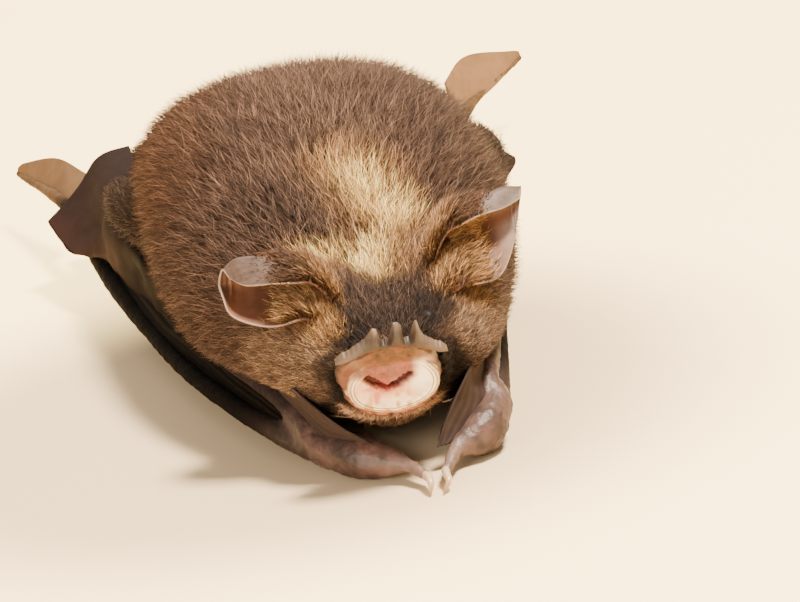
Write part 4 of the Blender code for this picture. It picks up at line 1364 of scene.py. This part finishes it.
def ear_tones(side, grid, u, w, bead, rib):
    """The colours of an ear's inside and outside, with painted rim light on the beaded rim."""
    vein = w - 0.62 - 0.06 * u
    vein = np.exp(-((vein / 0.03) ** 2)) * smooth_step(0.75, 0.95, u) * 0.4
    inside = layered(
        EAR_INSIDE,
        (EAR_DEEP, 0.8 * smooth_step(0.7, 0.1, u)),
        (EAR_DEEP, 0.6 * smooth_step(0.45, 0.3, w)),
        (EAR_BACK * 1.3, 0.8 * smooth_step(0.74, 0.88, u)),
        (EAR_RIM, np.clip(bead + 0.5 * rib + vein, 0, 1)),
    )
    grain = 1 + 0.2 * noise(grid, 0.5, 63) + 0.25 * noise(grid * (1, 3, 3), 0.25, 65)
    outside = mixed(EAR_BACK, EAR_RIM, bead) * grain[..., None]
    if side.name == "left":
        outside = mixed(outside, DARK, smooth_step(0.9, 0.98, u) * smooth_step(0.15, 0.3, w))
        far = smooth_step(0.5, 0.75, u) * smooth_step(0.72, 0.6, w) * smooth_step(0.03, 0.1, w)
        inside = mixed(inside, BROWN * 0.9, far)
        inside = mixed(inside, EAR_RIM * 0.8, 0.8 * smooth_step(0.7, 0.82, w) * smooth_step(0.3, 0.6, u))
    outside = mixed(outside, EAR_WARM, 0.6 * smooth_step(0.45, 0.0, u))
    fleck = 0.1 * noise(grid, 0.35, 61) + 0.08 * noise(grid, 0.14, 62)
    fleck = (1 + fleck)[..., None]
    return inside * fleck, outside * fleck


def make_ears():
    """Each ear is a thin sheet with a beaded rim, a short rib across it and faint ripples."""
    finish = toned_material(
        "ear",
        (7000, 0.3, 0.00003),
        Roughness=0.5,
        Specular_IOR_Level=0.22,
        Subsurface_Weight=0.04,
        Subsurface_Radius=SKIN_GLOW,
    )
    for side in SIDES:
        grid, up, u, w = ear_sheet(side, 66)
        edge = np.minimum(np.minimum(w, 1 - w) * 9, (1 - u) * 4)
        bead = np.exp(-((edge / 0.06) ** 2)) * smooth_step(-0.02, 0.16, u)
        half = 0.028 + 0.020 * bead + 0.03 * (1 - smooth_step(0, 0.3, u))
        rib = np.exp(-(((u - 0.76 - 0.05 * np.sin(w * 5)) / 0.015) ** 2))
        rib = rib * smooth_step(0.48, 0.56, w) * smooth_step(0.84, 0.76, w)
        ripple = 0.022 * np.sin(u * 50 + 4 * w) * smooth_step(0.35, 0.5, w) * smooth_step(0.95, 0.7, w)
        inner = grid - up * (half + 0.06 * rib + ripple)[..., None]
        outer = grid + up * half[..., None]
        tones = ear_tones(side, grid, u, w, bead, rib)
        obj = closed_sheet("ear_skin_" + side.name, inner, outer, *tones)
        finish_piece(obj, finish, "ear", "ear_" + side.name)


# ---------------------------------------------------------------- eyes and claws


EYE_SUNK = 0.42  # how far the eyeball's middle lies behind the eye's place


def make_eyes():
    """Each eye is a dark ball with its pole where it looks."""
    finish = new_material("eye", Base_Color=(0.004, 0.003, 0.003, 1), Roughness=0.5, Specular_IOR_Level=0.12)
    for side in SIDES:
        eye, look = eye_frame(side)
        eye = eye - look * EYE_SUNK
        angle = full_turn(40)
        turn = np.linspace(0.02, math.pi - 0.02, 26)
        aside = unit(np.cross(look, (0, 0, 1)))
        up = np.cross(aside, look)
        grid = eye + EYE_RADIUS * (
            np.cos(turn)[:, None, None] * look
            + (np.sin(turn)[:, None] * np.cos(angle))[..., None] * aside
            + (np.sin(turn)[:, None] * np.sin(angle))[..., None] * up
        )
        obj = closed_grid("eyeball_" + side.name, grid)
        finish_piece(obj, finish, "eye", "eye_" + side.name)


HORN = srgb(196, 164, 132)
HORN_TIP = srgb(140, 102, 72)


def make_claws():
    """The thumbs' and toes' claws are bent cones, darker at their tips."""
    finish = toned_material(
        "claw",
        (9000, 0.2, 0.00002),
        Roughness=0.22,
        Specular_IOR_Level=0.6,
        Transmission_Weight=0.12,
    )
    for side in SIDES:
        wing = WINGS[side.name]
        last = np.array(wing.thumb[-1])
        path = [part_way(last, wing.claw[0], 0.25), *wing.claw]
        grid = tube_grid(at_side(side, path), (0.24, 0.22, 0.17, 0.05), 30, 20, flat=1.2)
        obj = closed_grid("thumb_claw_horn_" + side.name, grid)
        share, _ = sheet_shares(*grid.shape[:2])
        paint(obj, mixed(HORN, HORN_TIP, smooth_step(0.5, 1, share)))
        finish_piece(obj, finish, "claw", "thumb_claw_" + side.name)
        for toe in range(TOES):
            aside = toe_aside(toe)
            x = 8.8 + aside * 1.4
            path = [(x, 32.5, 0.5), (x + aside * 0.1, 33.1, 0.55), (x + aside * 0.2, 33.6, 0.22)]
            grid = tube_grid(at_side(side, path), (0.17, 0.14, 0.04), 18, 14)
            obj = closed_grid("toe_claw_%d_%s" % (toe + 1, side.name), grid)
            share, _ = sheet_shares(*grid.shape[:2])
            paint(obj, mixed(HORN, HORN_TIP, share))
            finish_piece(obj, finish, "claw")


# ---------------------------------------------------------------- wings

# The hand membrane's dark skin, made near-black as painted shade of the folded wing.
MEMBRANE_AND_SHADE = srgb(14, 10, 8)
ARM_BROWN = srgb(52, 42, 39)
FOLD = srgb(34, 24, 22)
FOLD_RED = srgb(40, 26, 23)


def span(first, second, rows, columns, bulge=(0, 0, 0)):
    """A grid between two curves, bulged in the middle."""
    a = smooth_path(first, columns)
    b = smooth_path(second, columns)
    share = np.linspace(0, 1, rows)[:, None, None]
    return a * (1 - share) + b * share + 4 * share * (1 - share) * np.asarray(bulge, float)


def sheet_piece(name, grid, half, tones, finish, *replaced):
    """A closed thin sheet round a grid of points, with half its thickness to each side."""
    offset = sheet_normal(grid) * half
    obj = closed_sheet(name, grid + offset, grid - offset, tones, tones)
    finish_piece(obj, finish, "wing_membrane", *replaced)


def pleated(grid, folds, depth, seed):
    """Folds running along the sheet's columns, shallower at its edges."""
    v, _ = sheet_shares(*grid.shape[:2])
    wander = 0.35 * noise(grid, 3.5, seed) + 0.15 * noise(grid, 1.2, seed + 1)
    wave = np.sin((v * folds + wander) * 2 * math.pi)
    fade = np.sin(v * math.pi).clip(0) ** 0.5
    return grid + sheet_normal(grid) * (wave * fade * depth)[..., None], wave


def block_tones(grid, tones):
    """The gathered side membrane is redder low down and darker forwards, with a painted highlight on its
    crest.
    """
    red = smooth_step(6.5, 4.5, grid[..., 2]) * smooth_step(0.2, -0.3, noise(grid, 3.0, 84))
    tones = mixed(tones, FOLD_RED * 1.25, 0.7 * red)
    row = np.arange(len(grid))[:, None] / len(grid) + 0.02 * noise(grid, 1.0, 85)
    # Painted highlight along the fold's crest.
    ridge = np.exp(-(((row - 0.72) / 0.018) ** 2)) * smooth_step(12.0, 9.0, grid[..., 1])
    # Painted shade in the slit between the crest and the fur, towards the front.
    tones = tones * (1 - 0.55 * smooth_step(0.76, 0.9, row) * smooth_step(14.0, 9.0, grid[..., 1]))[..., None]
    tones = tones * (1 - 0.7 * smooth_step(9.0, 4.0, grid[..., 1]))[..., None]
    return mixed(tones, REAR_PALE * 1.5, 0.6 * ridge)


def hand_sheet(wing):
    """From the forearm to the folded third finger."""
    fore_start = part_way(wing.forearm[2], wing.forearm[1], 0.1)
    finger_start = part_way(wing.finger[0], wing.finger[1], 0.1)
    fore_end = part_way(wing.forearm[0], wing.elbow, 0.75)
    first = shifted([fore_start, wing.forearm[1], wing.forearm[0], fore_end], (0.45, 0.2, 0.35))
    second = shifted([finger_start, wing.finger[1], wing.finger[3], wing.knuckle], (-0.1, 0, 0.35))
    return span(first, second, 40, 120)


def arm_sheet(wing):
    """From the wrist and forearm up to the cheek."""
    first = shifted([*wing.wrist[::-1], wing.forearm[2], wing.forearm[1]], (-0.1, -0.2, 0.4))
    return span(first, wing.web, 24, 70)


def side_sheet(wing):
    """The gathered fold along the flank and over the elbow, from its lower edge into the fur."""
    low = [shifted(wing.finger[3], (-0.7, 0, 0.6)), shifted(wing.knuckle, (-0.1, 0.4, 0.9)), *wing.fold]
    guides = [smooth_path(line, 110) for line in (low, wing.crest, wing.lap)]
    hollow = part_way(guides[0], guides[1], 0.5) + (-0.15, 0, -0.1)
    grid = np.array([smooth_path(column, 50) for column in zip(guides[0], hollow, guides[1], guides[2])])
    grid = grid.transpose(1, 0, 2)
    ruck = 0.30 * noise(grid * (1, 0.35, 1), 1.5, 80) + 0.14 * noise(grid * (1, 0.5, 1), 0.7, 81)
    ruck = ruck * np.sin(np.linspace(0.3, 1.0, 50) * math.pi)[:, None]
    return grid + ruck[..., None] * (-1, 0, 0.5)


def leg_sheet(wing):
    """From the third finger's middle to the thigh and shank."""
    outer = shifted([wing.knuckle, wing.corner], (-0.8, 1.0, 0.2))
    inner = [shifted(wing.knuckle, (-2.7, 3.0, 0.2)), (8.9, 18.5, 3.2), (8.9, 23.6, 3.5)]
    return span(outer, inner, 30, 50, bulge=(0, 0, -0.4))


def tip_sheet(wing):
    """The fan that stands out behind, over the third finger's last bones."""
    bone = [shifted(wing.corner, (-0.2, 1.0, 0.2)), part_way(wing.corner, wing.tip, 0.5), wing.tip]
    return span(bone, [*wing.fan, shifted(wing.tip, (-0.1, -0.3, 0.5))], 40, 70)


def tail_sheet():
    """From the tail to one shank and foot."""
    inner = [(0.1, 24.9, 3.6), (0.1, 30.0, 1.5), (0.5, 34.4, 0.6)]
    outer = [(9.0, 24.4, 3.5), (7.9, 27.4, 1.5), (6.9, 30.8, 0.7)]
    return span(inner, outer, 45, 45, bulge=(0, -0.6, -0.2))


def make_wings():
    """Both wings' membranes and the tail's, each a thin sheet with its own tone and folds."""
    grain = (4200, 0.4, 0.00004)
    finish = toned_material("wing_membrane", grain, Roughness=0.7, Specular_IOR_Level=0.03)
    for side in SIDES:
        wing = WINGS[side.name]
        # Painted light: the left tip is 1.3 times brighter, for more light shining through it.
        tan = TIP_BACKLIT_TAN * (1.0 if side.name == "right" else 1.3)
        # Each sheet's half thickness, tone, number of folds, their depth and its noise's seed.
        sheets = (
            ("hand_membrane", hand_sheet(wing), 0.05, MEMBRANE_AND_SHADE, 4.5, 0.045, 71),
            ("arm_membrane", arm_sheet(wing), 0.06, ARM_BROWN, 5, 0.018, 75),
            ("side_membrane", side_sheet(wing), 0.10, FOLD, 0, 0.0, 79),
            ("leg_membrane", leg_sheet(wing), 0.07, FOLD_RED, 4, 0.12, 83),
            ("wing_tip", tip_sheet(wing), 0.06, tan, 0, 0.0, 87),
            ("tail_membrane", tail_sheet(), 0.06, FOLD_RED, 6, 0.06, 91),
        )
        for name, grid, half, tone, folds, depth, seed in sheets:
            grid = at_side(side, grid.reshape(-1, 3)).reshape(grid.shape)
            wave = np.zeros(grid.shape[:2])
            if folds:
                grid, wave = pleated(grid, folds, depth, seed)
            # The 0.12 * wave term is painted light and shade that follows the folds.
            shade = 1 + 0.12 * noise(grid, 1.5, seed + 2) + 0.1 * noise(grid, 0.4, seed + 3) + 0.12 * wave
            tones = tone * shade[..., None]
            if name == "side_membrane":
                tones = block_tones(grid, tones)
            skin_name = name + "_skin_" + side.name
            sheet_piece(skin_name, grid, half, tones, finish, name + "_" + side.name)


# ---------------------------------------------------------------- stage


def floor_material():
    """A pale floor that glows as painted light, more away from the bat, leaving a painted shadow round it."""
    made = new_material(
        "floor",
        Base_Color=(0.62, 0.47, 0.30, 1),
        Roughness=0.85,
        Specular_IOR_Level=0.05,
        Emission_Color=(1.0, 0.70, 0.26, 1),
    )
    where = add_node(made, "NewGeometry")
    stretch = add_node(made, "VectorMath")
    stretch.operation = "MULTIPLY_ADD"
    stretch.inputs[1].default_value = (0.85, 1.0, 0)
    stretch.inputs[2].default_value = (0.005, 0.016, 0)
    join(made, where.outputs["Position"], stretch, 0)
    away = add_node(made, "VectorMath")
    away.operation = "LENGTH"
    join(made, stretch.outputs["Vector"], away, 0)
    # Painted light: the glow is nil near the bat, a painted shadow, and rises to 4.4 away from it.
    painted_glow = add_node(made, "MapRange", From_Min=0.015, From_Max=0.030, To_Min=0.0, To_Max=4.4)
    painted_glow.interpolation_type = "SMOOTHSTEP"
    join(made, away.outputs["Value"], painted_glow, "Value")
    join_surface(made, painted_glow.outputs["Result"], "Emission Strength")
    return made


def make_stage():
    """The floor, and the pale light all round."""
    size = 6.0
    mesh = bpy.data.meshes.new("floor")
    corners = [(-size, -size, 0), (size, -size, 0), (size, size, 0), (-size, size, 0)]
    mesh.from_pydata(corners, [], [(0, 1, 2, 3)])
    floor = bpy.data.objects.new("floor", mesh)
    bpy.context.scene.collection.objects.link(floor)
    mesh.materials.append(floor_material())
    world = bpy.data.worlds.new("surround")
    world.use_nodes = True
    set_inputs(world.node_tree.nodes["Background"], {"Color": (1.0, 0.88, 0.70, 1), "Strength": 0.5})
    bpy.context.scene.world = world


def area_light(name, place, aim, size, power_watts, colour):
    light = bpy.data.lights.new(name, "AREA")
    light.energy = power_watts
    light.size = size
    light.color = colour
    obj = bpy.data.objects.new(name, light)
    bpy.context.scene.collection.objects.link(obj)
    obj.location = place
    obj.rotation_euler = (Vector(aim) - Vector(place)).to_track_quat("-Z", "Y").to_euler()


def make_lights():
    aim = (0, -0.01, 0.006)
    area_light("key", (0.11, -0.06, 0.31), aim, 0.06, 5.4, (1.0, 0.88, 0.70))
    area_light("fill", (-0.19, -0.29, 0.12), aim, 0.2, 1.7, (1.0, 0.93, 0.82))
    area_light("rim", (-0.05, 0.35, 0.22), aim, 0.3, 1.2, (1.0, 0.90, 0.76))


AZIMUTH = -6.0
ELEVATION = 20.0
ROLL = 9.0
DISTANCE = 0.25
LENS = 202.0
AIM = (1.363, -17.407, 8.0)  # the middle of the view, in design millimetres


def make_camera():
    """The photo's viewing angle: round the bat, above the level and turned about the line of sight."""
    a, e, r = (math.radians(v) for v in (AZIMUTH, ELEVATION, ROLL))
    back = Vector((math.sin(a) * math.cos(e), -math.cos(a) * math.cos(e), math.sin(e)))
    level = Vector((math.cos(a), math.sin(a), 0))
    upright = back.cross(level)
    right = level * math.cos(r) - upright * math.sin(r)
    up = level * math.sin(r) + upright * math.cos(r)
    data = bpy.data.cameras.new("camera")
    data.lens = LENS
    data.sensor_width = 36.0
    data.clip_start = 0.005
    camera = bpy.data.objects.new("camera", data)
    bpy.context.scene.collection.objects.link(camera)
    place = Vector(placed(AIM)) + back * DISTANCE
    turn = Matrix((right, up, back)).transposed().to_4x4()
    camera.matrix_world = Matrix.Translation(place) @ turn
    bpy.context.scene.camera = camera


make_camera()
make_stage()
make_lights()
make_skin()
make_noseleaf()
make_ears()
make_eyes()
make_claws()
make_wings()
make_coat()
